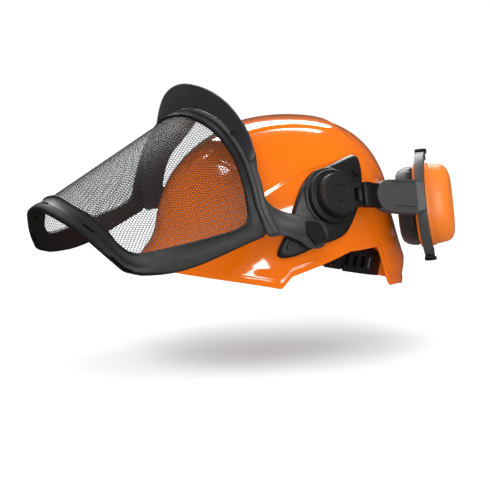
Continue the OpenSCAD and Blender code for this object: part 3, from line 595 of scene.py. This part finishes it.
# left halves of the mesh window and of the frame's outer edge, as (u, v)
WINDOW_HALF = [(0, 0.042), (0.25, 0.042), (0.47, 0.042), (0.68, 0.052), (0.82, 0.08), (0.862, 0.17),
               (0.845, 0.35), (0.81, 0.58), (0.755, 0.79), (0.7, 0.88), (0.6, 0.893), (0.5, 0.872),
               (0.37, 0.858), (0.2, 0.868), (0, 0.86)]
EDGE_HALF = [(0, 0.004), (0.25, 0.004), (0.47, 0.004), (0.68, 0.004), (0.9, 0.004), (1, 0.05), (1, 0.3),
             (1, 0.58), (1, 0.83), (1, 0.98), (0.87, 1.035), (0.68, 1.02), (0.45, 0.99), (0.22, 0.985),
             (0, 0.985)]
SLOTS_U, SLOT_V, SLOT_HALF, SLOT_R = (-0.42, 0.0, 0.42), 0.935, 5.3, 1.2


def whole(half):
    """Both halves of an outline, from its left one."""
    return half + [(-u, v) for u, v in half[-2:0:-1]]


def build_visor_frame():
    """Band round the mesh window: a bead along the window, a flat, and a folded lip along the chin."""
    inner, outer = closed_curve(whole(WINDOW_HALF), 10), closed_curve(whole(EDGE_HALF), 10)
    t = FRAME_T / 2
    # (place from window to edge, height) across each face
    top = [(0.0, -0.2), (0.012, 0.5), (0.05, 0.75), (0.09, 0.4), (0.13, 0.0), (0.3, 0.0), (0.47, 0.0),
           (0.53, 0.35), (0.6, 0.6), (0.8, 0.55), (0.93, 0.35), (0.98, -0.1), (1.0, -0.7)]
    bottom = [(1.0, 0.6), (0.98, 0.2), (0.8, 0.0), (0.5, 0.0), (0.2, 0.0), (0.03, 0.1), (0.0, 0.6)]
    rings = []
    for side, row in ((-1, top), (1, bottom)):
        for k, h in row:
            p = inner * (1 - k) + outer * k
            u, v = np.clip(p[:, 0], -1, 1), np.maximum(p[:, 1], 0.004)
            fold = 0.5 + smooth((v - 0.75) / 0.15) if side < 0 else 1.0
            lift = side * t - h * fold
            rings.append(sheet_pt(u, v) + sheet_normal(u, v) * np.asarray(lift)[..., None])
    verts = np.array(rings)
    faces = ring_faces(len(rings), len(inner), True)
    obj = add_object("visor_frame_skin", verts.reshape(-1, 3), faces, 40)
    for u in SLOTS_U:
        carve(obj, slot_cutter(u, SLOT_V))
    tidy(obj, 40)
    place(obj, "visor", "black_plastic", "visor_frame")


def slot_cutter(u, v):
    """Stadium prism across the chin band."""
    p, n = sheet_pt(u, v), sheet_normal(u, v)
    t = unit(sheet_pt(u + 0.02, v) - sheet_pt(u - 0.02, v))
    c = np.cross(n, t)
    a = np.linspace(0, 2 * math.pi, 24, endpoint=False)
    flat = np.stack([np.cos(a) * SLOT_R + np.sign(np.cos(a)) * SLOT_HALF, np.sin(a) * SLOT_R], -1)
    ring = p + flat[:, :1] * t + flat[:, 1:] * c
    return loft("slot_cutter", [ring - n * 6, ring + n * 6])


def inside(points, outline):
    """Which points of a plane lie within a closed outline."""
    x, y = points[:, 0], points[:, 1]
    result = np.zeros(len(points), bool)
    for (x0, y0), (x1, y1) in zip(outline, np.roll(outline, -1, 0)):
        crosses = (y0 > y) != (y1 > y)
        with np.errstate(divide="ignore", invalid="ignore"):
            result ^= crosses & (x < (x1 - x0) * (y - y0) / (y1 - y0) + x0)
    return result


def build_mesh_sheet(pitch=2.9, bar=0.29, thickness=0.25):
    """Etched sheet of hexagonal holes, laid out flat by arc length and mapped on the visor's surface."""
    us, mid_v, top_v, span_v = np.linspace(-0.9, 0.9, 400), 0.45, 0.02, 0.9
    mid = sheet_pt(us, mid_v)
    arc = np.concatenate([[0], np.cumsum(np.linalg.norm(np.diff(mid, axis=0), axis=1))])
    height = np.linalg.norm(sheet_pt(0.3, top_v + span_v) - sheet_pt(0.3, top_v))
    row_step = pitch * math.sqrt(3) / 2
    cols, rows = int(arc[-1] / pitch), int(height / row_step)
    centre = np.array([((c + 0.5 * (r % 2)) * pitch, r * row_step)
                       for r in range(rows + 1) for c in range(cols + 1)])

    def to_uv(flat):
        return np.stack([np.interp(flat[:, 0], arc, us), top_v + span_v * flat[:, 1] / height], -1)

    # the sheet reaches a little way under the frame
    outline = (closed_curve(whole(WINDOW_HALF), 10) - (0, mid_v)) * (1.015, 1.02) + (0, mid_v)
    centre = centre[inside(to_uv(centre), outline)]
    ang = np.radians(60 * np.arange(6) + 30)
    spoke = np.stack([np.cos(ang), np.sin(ang)], -1)
    outer = centre[:, None] + spoke * (pitch / math.sqrt(3))
    inner = centre[:, None] + spoke * ((pitch - 2 * bar) / math.sqrt(3))
    flat = np.concatenate([outer.reshape(-1, 2), inner.reshape(-1, 2)])
    # corners that neighbours share become one, matched to a twentieth of a millimetre
    keys, index = np.unique(np.round(flat * 20).astype(int), axis=0, return_inverse=True)
    index = index.ravel()
    merged = np.zeros((len(keys), 2))
    merged[index] = flat
    n = len(centre) * 6
    k = np.arange(n)
    k1 = k - k % 6 + (k + 1) % 6
    faces = np.stack([index[k], index[k1], index[n + k1], index[n + k]], -1)
    uv = to_uv(merged)
    obj = add_object("visor_mesh_skin", sheet_pt(uv[:, 0], uv[:, 1]), faces.tolist())
    modify(obj, "SOLIDIFY", thickness=thickness * MM, offset=0)
    bake(obj)
    tidy(obj)
    return place(obj, "visor", "mesh_steel", "visor_mesh")


def build_seal():
    """Flange that runs back from the hoop and turns in towards the shell."""
    cols, rows = 110, 12
    us, ws = np.linspace(-SEAL_END, SEAL_END, cols), np.linspace(0, 1, rows)
    u, w = np.meshgrid(us, ws, indexing="ij")
    depth = SEAL_SIDE_D + (SEAL_D - SEAL_SIDE_D) * (1 - smooth((np.abs(u) - 0.15) / 0.45))
    slope = SEAL_IN * smooth((np.abs(u) - 0.05) / 0.3) * w ** 1.3
    inward = SEAL_ROOT + slope - smooth((w - 0.85) / 0.15)
    sheet = hoop_pt(u) + HOOP_BACK * (1 + (depth - 1) * w)[..., None] - hoop_out(u) * inward[..., None]
    obj = add_object("visor_seal_skin", sheet.reshape(-1, 3), ring_faces(cols, rows, loop_points=False))
    modify(obj, "SOLIDIFY", thickness=SEAL_T * MM, offset=0)
    bevel(obj, 0.5, 50)
    bake(obj)
    tidy(obj, 45)
    place(obj, "visor", "collar_rubber", "visor_seal")


def sweep(name, path, normals, backs, profile):
    """Sweeps a profile of (back, out) pairs along a path."""
    prof = np.array(profile, float)[None]
    return loft(name, path[:, None] + backs[:, None] * prof[..., :1] + normals[:, None] * prof[..., 1:])


# the visor's arm from the side, and the raised line along its middle, as (y, z)
ARM_OUTLINE = [(-34.8, 66), (-36.3, 75), (-41.5, 81), (-49, 83.6), (-61, 87.5), (-82, 93), (-95, 101),
               (-105, 115), (-107.5, 104), (-107.5, 90), (-101, 71.5), (-89, 70.8), (-79, 69), (-66, 63),
               (-57, 56.6), (-47, 54.6), (-39, 57.5)]
ARM_SPINE = [(-58, 76), (-68, 77), (-82, 81.5), (-95, 90), (-103, 108)]
ARM_X_IN, ARM_X_OUT, ARM_BEND, RIDGE_H, RIDGE_HALF, RIDGE_FADE = 111.6, 119.6, 36.0, 1.6, 1.5, 7.0
EYE_R, EYE_FADE, EYE_DRAW = 16.0, 8.0, 0.04


def hoop_x_at(z):
    """How far out the hoop's side is at height z."""
    k = np.array(HOOP_KEYS)[::-1]
    return np.interp(z, k[:, 2], k[:, 0])


def line_distance(p, line):
    """Distance of points from a polyline."""
    best = np.full(len(p), 1e9)
    for a, b in zip(np.array(line[:-1], float), np.array(line[1:], float)):
        t = np.clip(((p - a) @ (b - a)) / ((b - a) @ (b - a)), 0, 1)[:, None]
        best = np.minimum(best, np.linalg.norm(p - a - t * (b - a), axis=1))
    return best


def build_arm_blade():
    """Arm from the pivot to the hoop: flat at its eye, and bent in to the hoop's side at the front."""
    outline = closed_curve(ARM_OUTLINE, 6)
    n = len(outline)
    slab = ARM_X_OUT - ARM_X_IN
    verts = np.vstack([np.column_stack([np.full(n, x), outline]) for x in (0.0, slab)])
    faces = [tuple(range(n)), tuple(range(2 * n - 1, n - 1, -1))]
    faces += [(j, (j + 1) % n, n + (j + 1) % n, n + j) for j in range(n)]
    obj = add_object("arm_blade", verts, faces)
    modify(obj, "REMESH", mode="VOXEL", voxel_size=1.3 * MM)
    bake(obj)
    co = np.array([v.co for v in obj.data.vertices]) / MM
    # the eye round the pivot stays clear of the muff's turntable
    from_pivot = co[:, 1:] - VISOR_PIVOT[1:]
    r = np.linalg.norm(from_pivot, axis=1)[:, None]
    co[:, 1:] -= from_pivot * EYE_DRAW * (1 - smooth((r - EYE_R) / EYE_FADE))
    y, z = co[:, 1], co[:, 2]
    w = smooth((ARM_SPINE[0][0] - y) / ARM_BEND)
    x_in = ARM_X_IN * (1 - w) + (hoop_x_at(z) - HOOP_IN) * w
    x_out = ARM_X_OUT * (1 - w) + (hoop_x_at(z) + HOOP_OUT) * w
    x_out = x_out - RIDGE_H * smooth((line_distance(co[:, 1:], ARM_SPINE) - RIDGE_HALF) / RIDGE_FADE)
    co[:, 0] = x_in + np.clip(co[:, 0] / slab, 0, 1) * (x_out - x_in)
    obj.data.vertices.foreach_set("co", (co * MM).ravel())
    return obj


def build_hoop():
    """Wishbone: a band with a groove along its face, and an arm at each end with a pocket for its button."""
    u = np.linspace(-1, 1, 161)
    path = hoop_pt(u)
    back = np.broadcast_to(HOOP_BACK, path.shape)
    section = [(0.5, -2.5), (HOOP_W, -2.5), (HOOP_W, 1.6), (HOOP_W - 1.6, 3.2), (7.6, 3.3), (6.4, 2.0),
               (5.0, 2.0), (3.8, HOOP_OUT), (2.2, HOOP_OUT), (0.5, 2.0)]
    band = sweep("hoop_band", path, hoop_out(u), back, section)
    blade = build_arm_blade()
    obj = join("visor_hoop_skin", [band, blade, mirrored(blade, "arm_blade_right")])
    modify(obj, "REMESH", mode="VOXEL", voxel_size=0.8 * MM)
    modify(obj, "SMOOTH", factor=0.5, iterations=4)
    bake(obj)
    for side in (-1, 1):
        carve(obj, button_pocket(side))
    tidy(obj, 40)
    place(obj, "visor", "black_plastic", "visor_hoop", look="arm_plastic")


# the button's outline round the pivot, as (y, z)
BUTTON_KEYS = np.array([(-11.9, 11.5), (-7.2, 12.4), (5, 9.4), (11.8, -6.1), (-0.4, -11.1), (-10.8, 1.8)])
POCKET_X, POCKET_SCALE = 115.4, 1.04


def button_pocket(side):
    """Prism a little wider than the button; side is 1 on the wearer's left and -1 on the right."""
    yz = VISOR_PIVOT[1:] + BUTTON_KEYS * POCKET_SCALE
    ends = (POCKET_X, POCKET_X + 20)
    return loft("cutter", [np.column_stack([np.full(len(yz), side * x), yz]) for x in ends])


COLLAR_ROUND, COLLAR_T, RIBS_U = 0.62, 2.2, (-0.29, 0.0, 0.29)


def build_rib(u):
    """Small block across the collar's foot."""
    out = hoop_out(u)
    foot = hoop_pt(u) + out * 3.6 + HOOP_BACK * 3.4
    box = np.array([(i, j, q) for i in (-0.7, 0.7) for j in (0.0, 5.5) for q in (-2.4, 0.8)])
    box[:, 2] += np.where(box[:, 1] > 1, 0.4, 0)
    corners = foot + box[:, :1] * np.cross(out, HOOP_BACK) + box[:, 1:2] * out + box[:, 2:] * HOOP_BACK
    return add_object("rib", corners, [(0, 1, 3, 2), (4, 6, 7, 5), (0, 4, 5, 1), (2, 3, 7, 6), (0, 2, 6, 4),
                                       (1, 5, 7, 3)])


def build_collar():
    """Rain collar: a sheet that stands up from the hoop and leans back at the sides, with ribs along it."""
    cols, rows = 140, 16
    u = np.linspace(-COLLAR_END, COLLAR_END, cols)
    k = np.clip(np.abs(u) / COLLAR_END, 0, 1)[:, None]
    h = COLLAR_H * (1 - k * k) ** COLLAR_ROUND + 1
    base, out = hoop_pt(u), hoop_out(u)
    rise = unit(np.stack([out[:, 0] * 0.35, 0 * u, 1 + 0 * u], -1))
    rings = [base + out * HOOP_OUT + rise * h * w + HOOP_BACK * (5 - 7 * w + 13 * w * k)
             for w in np.linspace(0, 1, rows)]
    obj = add_object("collar_sheet", np.reshape(rings, (-1, 3)), ring_faces(rows, cols, loop_points=False))
    modify(obj, "SOLIDIFY", thickness=COLLAR_T * MM, offset=0)
    bevel(obj, 0.7, 50)
    bake(obj)
    obj = join("visor_collar_skin", [obj] + [build_rib(at) for at in RIBS_U])
    tidy(obj, 45)
    place(obj, "visor", "collar_rubber", "visor_collar")


# ---------- ear cup and cushion ----------
def cup_plan(inset, turns):
    """Both coordinates of the cup's outline, drawn in by the inset."""
    a = -np.arange(turns) * 2 * math.pi / turns
    x = signed_pow(np.cos(a), 2 / CUP_E) * (CUP_W / 2 - inset)
    y = signed_pow(np.sin(a), 2 / CUP_E) * (CUP_H / 2 - inset)
    return x, y


def on_cup(x, y, z):
    """Points of the left cup's own frame in the helmet's."""
    return np.stack([x, y, z + 0 * x], -1) @ FORK_ROT.T + CUP_PT


def cup_ring(inset, z, turns=120):
    return on_cup(*cup_plan(inset, turns), z)


def build_cup():
    """Cup: down its inner wall, round the rim, and up the outside to a raised ring on its back."""
    rim, top = CUP_RIM_Z, CUP_RIM_Z + CUP_D
    rings = [(30, top - CUP_WALL), (12, top - CUP_WALL), (CUP_WALL + 5, top - 9), (CUP_WALL + 1, 0),
             (CUP_WALL + 1, rim), (2.0, rim), (0.8, rim + 0.3), (0.1, rim + 1.0), (0.1, rim + 2.2),
             (0.6, rim + 3.0), (1.2, rim + 3.6), (1.2, 5.4), (1.7, 6.4), (2.6, 7.2), (2.8, 11),
             (3.8, top - 8), (5.4, top - 4.4), (8.0, top - 2.0), (11.0, top - 0.7), (14, top - 0.1),
             (16, top), (17, top - 0.5), (18.5, top - 0.9), (26, top - 0.8), (33, top - 0.8)]
    return loft("cup_skin_left", [cup_ring(inset, z) for inset, z in rings], smooth_angle=38)


def puff(obj, cap, pressure=4.0, voxel=3.5, frames=20):
    """Cloth under pressure, with the movement of every point capped, then one subdivision."""
    modify(obj, "REMESH", mode="VOXEL", voxel_size=voxel * MM)
    bake(obj)
    start = np.array([v.co for v in obj.data.vertices])
    cloth = modify(obj, "CLOTH")
    cloth.settings.use_pressure = True
    cloth.settings.uniform_pressure_force = pressure
    cloth.settings.effector_weights.gravity = 0
    cloth.settings.quality = 4
    scene = bpy.context.scene
    for f in range(1, frames + 1):
        scene.frame_set(f)
    bake(obj)
    scene.frame_set(1)
    move = np.array([v.co for v in obj.data.vertices]) - start
    length = np.linalg.norm(move, axis=1, keepdims=True)
    move *= np.minimum(1, cap * MM / np.maximum(length, 1e-9))
    obj.data.vertices.foreach_set("co", (start + move).ravel())
    modify(obj, "SMOOTH", factor=0.5, iterations=2)
    modify(obj, "SUBSURF", levels=1)
    bake(obj)
    tidy(obj, 60)
    return obj


def build_cushion():
    """Ring cushion on the cup's rim, puffed by at most 1.8 mm."""
    z0 = CUP_RIM_Z - 0.8
    z1 = z0 - CUSHION_T
    prof = [(19, z0), (3, z0), (2.5, z0 - 4), (3.5, z0 - 9), (6.5, z1 + 2.5), (11, z1 + 1.2), (15, z1 + 2.5),
            (18, z1 + 6), (19.5, z0 - 6)]
    obj = loft("cushion_skin_left", [cup_ring(i, z) for i, z in prof], closed=True)
    return puff(obj, 1.8)


def build_arm():
    """Muff arm: bar in the sleeve, an eye on the fold pin, and a cover that hides the hinge."""
    side = [(25.2, 1.2), (26, 1.8), (32, 1.8), (33.4, 1.2), (35.5, ARM_Z1 + 0.2), (ARM_END, ARM_Z1),
            (ARM_END, ARM_Z0), (31.6, ARM_Z0), (31.6, -2.8), (26, -2.8), (25.2, -2.0)]
    rail = [(26.5, 1.6), (26.5, 2.3), (31.5, 2.3), (31.5, 1.6)]
    neck = [(FOLD_X, ARM_Z0), (33, ARM_Z0), (33, ARM_Z1), (FOLD_X, ARM_Z1)]
    a = np.linspace(0, 2 * math.pi, 32, endpoint=False)
    knuckle = [(FOLD_X + KNUCKLE_R * math.cos(t), FOLD_Z + KNUCKLE_R * math.sin(t)) for t in a]
    half, eye_half, rail_half, rail_y = ARM_H / 2, 6.1, 0.7, ARM_H / 2 - 1.6

    def prism(name, outline, width, middle=0.0):
        ring = np.array([(x, middle, z) for x, z in outline])
        return loft(name, [(ring + (0, w, 0)) for w in (-width, width)])

    obj = join("muff_arm_skin_left", [
        prism("arm_bar", side, half),
        prism("arm_eye", knuckle, eye_half),
        prism("arm_neck", neck, eye_half),
        prism("arm_rail", rail, rail_half, -rail_y),
        prism("arm_rail", rail, rail_half, rail_y)])
    for v in obj.data.vertices:
        local = np.array(v.co) / MM - (FOLD_X, 0, FOLD_Z)
        v.co = (FOLD_R @ local + FOLD_PT) * MM
    bevel(obj, 0.5, 40)
    bake(obj)
    tidy(obj, 40)
    return obj


# ---------- harness textiles and pads ----------
def in_band_frame(p):
    """Points of the sloping headband's frame, with z = 0 at its lower edge, in the helmet's."""
    c, t = math.cos(BAND_SLOPE), math.sin(BAND_SLOPE)
    return np.stack([p[..., 0], p[..., 1] * c + p[..., 2] * t, BAND_Z - p[..., 1] * t + p[..., 2] * c], -1)


def build_band_pad(name, start, end, a, b, e, thick, z0, height, channels):
    """Quilted pad along a band: crowned between sewn channels, and closed to a seam at both ends."""
    cols, turns = 30 * channels, 40
    k = np.linspace(0, 1, cols + 1)[:, None]
    phi = np.radians(start + (end - start) * k)
    s = np.linspace(0, 2 * math.pi, turns, endpoint=False)[None, :]
    swell = np.minimum(1, 0.3 + 1.1 * np.abs(np.sin(math.pi * channels * k)) ** 0.6)
    closing = np.clip(1 - np.abs(2 * k - 1) ** 24, 0.02, 1) ** 0.5
    seam = 1 - 0.35 * np.exp(-((np.abs(np.sin(s)) - 0.93) / 0.02) ** 2)
    inward = np.where(np.cos(s) > 0, swell, 1)
    depth = thick * (0.5 + 0.5 * signed_pow(np.cos(s), 0.7)) * inward * closing * seam
    up = z0 + height * (0.5 + 0.5 * signed_pow(np.sin(s), 0.55) * (0.93 + 0.07 * closing))
    x = (a - depth) * signed_pow(np.cos(phi), 2 / e)
    y = (b - depth) * signed_pow(np.sin(phi), 2 / e) - SHELL_FWD
    rings = in_band_frame(np.stack([x, y, up + 0 * x], -1))
    return loft(name, rings, smooth_angle=70)


def build_strap(name, half_len, height, middle, along_y):
    """Cradle strap: a woven ribbon on an arc, with thicker edges and a sewn patch at each end."""
    n, patch_from, patch_to, patch_t = 120, 7, 19, 0.5
    a = np.linspace(0.02, math.pi - 0.02, n)
    across = half_len * signed_pow(np.cos(a), 2 / STRAP_E) + middle
    arc = np.stack([across, height * signed_pow(np.sin(a), 2 / STRAP_E) + STRAP_Z], -1)
    tangent = unit(np.gradient(arc, axis=0))
    normal = np.stack([tangent[:, 1], -tangent[:, 0]], -1)
    from_end = np.minimum(np.arange(n), n - 1 - np.arange(n))
    patch = np.where((from_end >= patch_from) & (from_end <= patch_to), patch_t, 0.0)
    # (across the ribbon, through it)
    section = [(-10, 0), (-9.4, 0.55), (-8.4, 0.35), (-4, 0.3), (4, 0.3), (8.4, 0.35), (9.4, 0.55), (10, 0),
               (9.4, -0.55), (8.4, -0.4), (4, -0.35), (-4, -0.35), (-8.4, -0.4), (-9.4, -0.55)]
    rings = []
    for i in range(n):
        ring = []
        for w, t in section:
            flat, z = arc[i] + normal[i] * (t * 1.1 - 0.7 + (patch[i] if t > 0 else 0))
            ring.append((w, flat, z) if along_y else (flat, -SHELL_FWD + w, z))
        rings.append(ring)
    return loft(name, rings, smooth_angle=50)


def build_crown_pad():
    """Round pad with six sewn sectors under the crossing of the straps."""
    sector, seam_depth, under_straps = math.pi / 3, 0.9, STRAP_Z + 39
    a = np.linspace(0, 2 * math.pi, 96, endpoint=False)
    seam = seam_depth * np.exp(-((np.abs(np.mod(a, sector) - sector / 2)) / 0.07) ** 2)
    profile = [(1, 0.2), (8, 0.0), (14, 0.1), (19, 0.5), (22.4, 1.1), (23.8, 2.2), (23, 3.1), (20, 3.7),
               (12, 3.9), (1, 3.9)]
    rings = [np.stack([r * np.cos(a), r * np.sin(a) - SHELL_FWD, under_straps + h + seam * (h < 1.5)], -1)
             for r, h in profile]
    return loft("crown_pad_skin", rings, smooth_angle=60)


def build_foam():
    """Sound absorber in the cup, with rows of moulded dimples on its open face."""
    turns, margin, dimple_depth, dimple_turn, top = 96, 9, 0.9, 0.9, CUP_RIM_Z + CUP_D
    rings = []
    for k in np.linspace(0.06, 0.97, 26):
        x, y = (side * k for side in cup_plan(margin, turns))
        dimple = dimple_depth * (0.5 - 0.5 * np.cos(x * dimple_turn) * np.cos(y * dimple_turn))
        rings.append(on_cup(x, y, CUP_RIM_Z + 3.3 + dimple))
    body = [(margin, CUP_RIM_Z + 4.5), (9.5, 1), (14, top - 12), (22, top - 10.5), (30, top - 10)]
    rings += [cup_ring(inset, z, turns) for inset, z in body]
    return loft("cup_foam_skin_left", rings, smooth_angle=60)


# ---------- build everything ----------
def place_both(left, body, slot, node):
    """Places a left piece and its mirror image; {} in a body's or a node's name stands for the side."""
    right = mirrored(left, left.name.replace("left", "right"))
    for obj, side in ((left, "left"), (right, "right")):
        place(obj, body.format(side), slot, node.format(side))


build_shell()
place_both(build_adapter(), "helmet", "dark_plastic", "side_adapter_{}")
place_both(build_hub_boss(), "helmet", "dark_plastic", "hub_bases")
place_both(build_visor_boss(), "helmet", "dark_plastic", "visor_bases")
build_hoop()
build_visor_frame()
build_mesh_sheet().visible_shadow = False
build_seal()
build_collar()
place_both(build_cup(), "cup_{}", "cup_orange", "cup_{}")
place_both(build_cushion(), "cup_{}", "cushion_vinyl", "cushion_{}")
place_both(build_foam(), "cup_{}", "foam", "cup_foam_{}")
place_both(build_arm(), "arm_{}", "black_plastic", "muff_arm_{}")

# name, angles round the head, half width and half length inside the band, exponent, thickness, lower edge,
# height and channels
brow = build_band_pad("brow_pad_skin", -150, -30, BAND_A - BAND_T - 0.4, BAND_B - BAND_T - 0.4, HEAD_E, 5.0,
                      -3.0, BAND_H + 4, 8)
nape = build_band_pad("nape_pad_skin", 62, 118, BAND_A + 0.2, BAND_B - 1.4, NAPE_E, 4.0, 1.0, 18.0, 4)
strap_long = build_strap("strap_long_skin", 82, 50, -SHELL_FWD, True)
strap_cross = build_strap("strap_cross_skin", 74, 47.5, 0.0, False)
place(brow, "helmet", "pad_fabric", "brow_pad")
place(nape, "nape", "pad_fabric", "nape_pad")
place(strap_long, "helmet", "webbing", "strap_long")
place(strap_cross, "helmet", "webbing", "strap_cross")
place(build_crown_pad(), "helmet", "pad_fabric", "crown_pad")

# CAD nodes whose shape stays: welded, lightly bevelled, and given their material
SLOT_OF = {row["node"]: row["material_slot"] for row in frame["record"]["subparts"]}
SLOT_OF["adapter_screws"] = "dark_plastic"
for name, obj in frame["nodes"].items():
    if obj.hide_render:
        continue
    obj.data.materials.clear()
    obj.data.materials.append(MATS[SLOT_OF[name]])
    modify(obj, "WELD", merge_threshold=0.00001)
    modify(obj, "DECIMATE", decimate_type="DISSOLVE", angle_limit=math.radians(0.5))
    bevel(obj, 0.35, 40)

# ---------- stage, light, camera ----------
# metres from here on; the view is that of the photo
VIEW_AZ, VIEW_EL = math.radians(57), math.radians(8.5)
FLOOR_Z, FLOOR_HALF, FLOOR_GREY, FLOOR_GLOW = -0.064, 6.0, 0.4, 0.3
corners = [(x * FLOOR_HALF, y * FLOOR_HALF, 0) for x, y in ((-1, -1), (1, -1), (1, 1), (-1, 1))]
floor_mesh = bpy.data.meshes.new("floor")
floor_mesh.from_pydata(corners, [], [(0, 1, 2, 3)])
floor = bpy.data.objects.new("floor", floor_mesh)
floor.location.z = FLOOR_Z
bpy.context.scene.collection.objects.link(floor)
floor_mat = moulded("floor_white", (FLOOR_GREY, FLOOR_GREY, FLOOR_GREY), 0.95, blotch=0.0, edge_highlight=0.0)
for n in floor_mat.node_tree.nodes:
    if n.type == "BSDF_PRINCIPLED":
        n.inputs["Specular IOR Level"].default_value = 0.0
        n.inputs["Emission Color"].default_value = (0.92, 1, 1.02, 1)
        n.inputs["Emission Strength"].default_value = FLOOR_GLOW
floor.data.materials.append(floor_mat)
floor.visible_diffuse = floor.visible_glossy = False


def sink_with(target, angle, drop):
    """Lowers the floor as a moving piece turns down, so that no pose reaches through it."""
    c = floor.constraints.new("TRANSFORM")
    c.target = target
    c.map_from, c.map_to = "ROTATION", "LOCATION"
    c.from_min_x_rot, c.from_max_x_rot = min(0.0, angle), max(0.0, angle)
    c.map_to_z_from = "X"
    c.to_min_z, c.to_max_z = (drop, 0.0) if angle < 0 else (0.0, drop)
    c.mix_mode = "ADD"


sink_with(frame["bodies"]["visor"], math.radians(65), -0.09)
sink_with(frame["bodies"]["turntable_left"], math.radians(-95), -0.045)

world = bpy.data.worlds.new("studio")
bpy.context.scene.world = world
world.use_nodes = True
tree = world.node_tree
ambient = tree.nodes["Background"]
ambient.inputs["Color"].default_value = (1, 1, 1, 1)
BACKDROP, ROOM, ROOM_IN_GLOSS = 1.05, 0.88, 0.07
backdrop = node(tree, "ShaderNodeBackground", Color=(1, 1, 1, 1), Strength=BACKDROP)
rays = node(tree, "ShaderNodeLightPath")
# the room lights the surfaces evenly but hardly shows in their gloss
level = node(tree, "ShaderNodeMath", operation="MULTIPLY_ADD")
level.inputs[1].default_value, level.inputs[2].default_value = ROOM, ROOM_IN_GLOSS
tree.links.new(rays.outputs["Is Diffuse Ray"], level.inputs[0])
tree.links.new(level.outputs[0], ambient.inputs["Strength"])
choose = node(tree, "ShaderNodeMixShader")
tree.links.new(rays.outputs["Is Camera Ray"], choose.inputs[0])
tree.links.new(ambient.outputs[0], choose.inputs[1])
tree.links.new(backdrop.outputs[0], choose.inputs[2])
tree.links.new(choose.outputs[0], tree.nodes["World Output"].inputs["Surface"])


AIM = Vector((0, -0.03, 0.1))


def softbox(name, azimuth, elevation, size_x, size_y, radiance, distance=1.5, diffuse=True):
    """Rectangular light aimed at the helmet, from angles in degrees; its power follows from its radiance."""
    light = bpy.data.lights.new(name, "AREA")
    light.shape = "RECTANGLE"
    light.size, light.size_y = size_x, size_y
    light.energy = radiance * math.pi * size_x * size_y
    obj = bpy.data.objects.new(name, light)
    bpy.context.scene.collection.objects.link(obj)
    a, e = math.radians(azimuth), math.radians(elevation)
    away = Vector((math.sin(a) * math.cos(e), -math.cos(a) * math.cos(e), math.sin(e)))
    obj.location = AIM + away * distance
    obj.rotation_euler = away.to_track_quat("Z", "Y").to_euler()
    obj.visible_diffuse = diffuse
    obj.visible_glossy = not diffuse


# cards that only show as reflections, and broad lights that only light the surfaces
softbox("back_card", -118, 40, 1.15, 0.5, 17.0, diffuse=False)
softbox("side_card", 79, 17, 0.6, 0.62, 17.0, diffuse=False)
softbox("front_card", -36, 62, 0.55, 0.35, 16.0, diffuse=False)
softbox("key_light", 50, 55, 1.4, 1.4, 2.1)
softbox("rim_light", 170, 35, 1.2, 0.8, 1.6)

# broad lights from above that fall on the floor only; together they are long in the direction of the view
SUN_TILTS, SUN_LEAN, SUN_WIDTH, SUN_ENERGY = (-44, -22, 0, 22, 44), math.radians(-14), math.radians(48), 3.4
floor_only = bpy.data.collections.new("lit_from_above")
floor_only.objects.link(floor)
for tilt in SUN_TILTS:
    sun = bpy.data.lights.new("floor_light", "SUN")
    sun.energy = SUN_ENERGY / len(SUN_TILTS)
    sun.angle = SUN_WIDTH
    sun_obj = bpy.data.objects.new("floor_light", sun)
    lean = Matrix.Rotation(VIEW_AZ, 3, "Z") @ Matrix.Rotation(SUN_LEAN, 3, "Y")
    sun_obj.rotation_euler = (lean @ Matrix.Rotation(math.radians(tilt), 3, "X")).to_euler()
    bpy.context.scene.collection.objects.link(sun_obj)
    sun_obj.light_linking.receiver_collection = floor_only

CAM_DIST, CAM_SPAN, CAM_RIGHT, CAM_UP, SENSOR = 2.6, 0.490, -0.045, 0.040, 0.036
level_back = Vector((math.sin(VIEW_AZ), -math.cos(VIEW_AZ), 0))
back = level_back * math.cos(VIEW_EL) + Vector((0, 0, math.sin(VIEW_EL)))
right = Vector((math.cos(VIEW_AZ), math.sin(VIEW_AZ), 0))
target = right * CAM_RIGHT + back.cross(right) * CAM_UP
cam = bpy.data.cameras.new("camera")
cam.lens = SENSOR / CAM_SPAN * CAM_DIST / MM
cam.sensor_width = SENSOR / MM
camera = bpy.data.objects.new("camera", cam)
bpy.context.scene.collection.objects.link(camera)
camera.location = target + back * CAM_DIST
camera.rotation_euler = back.to_track_quat("Z", "Y").to_euler()
bpy.context.scene.camera = camera
bpy.context.scene.view_settings.view_transform = "Standard"
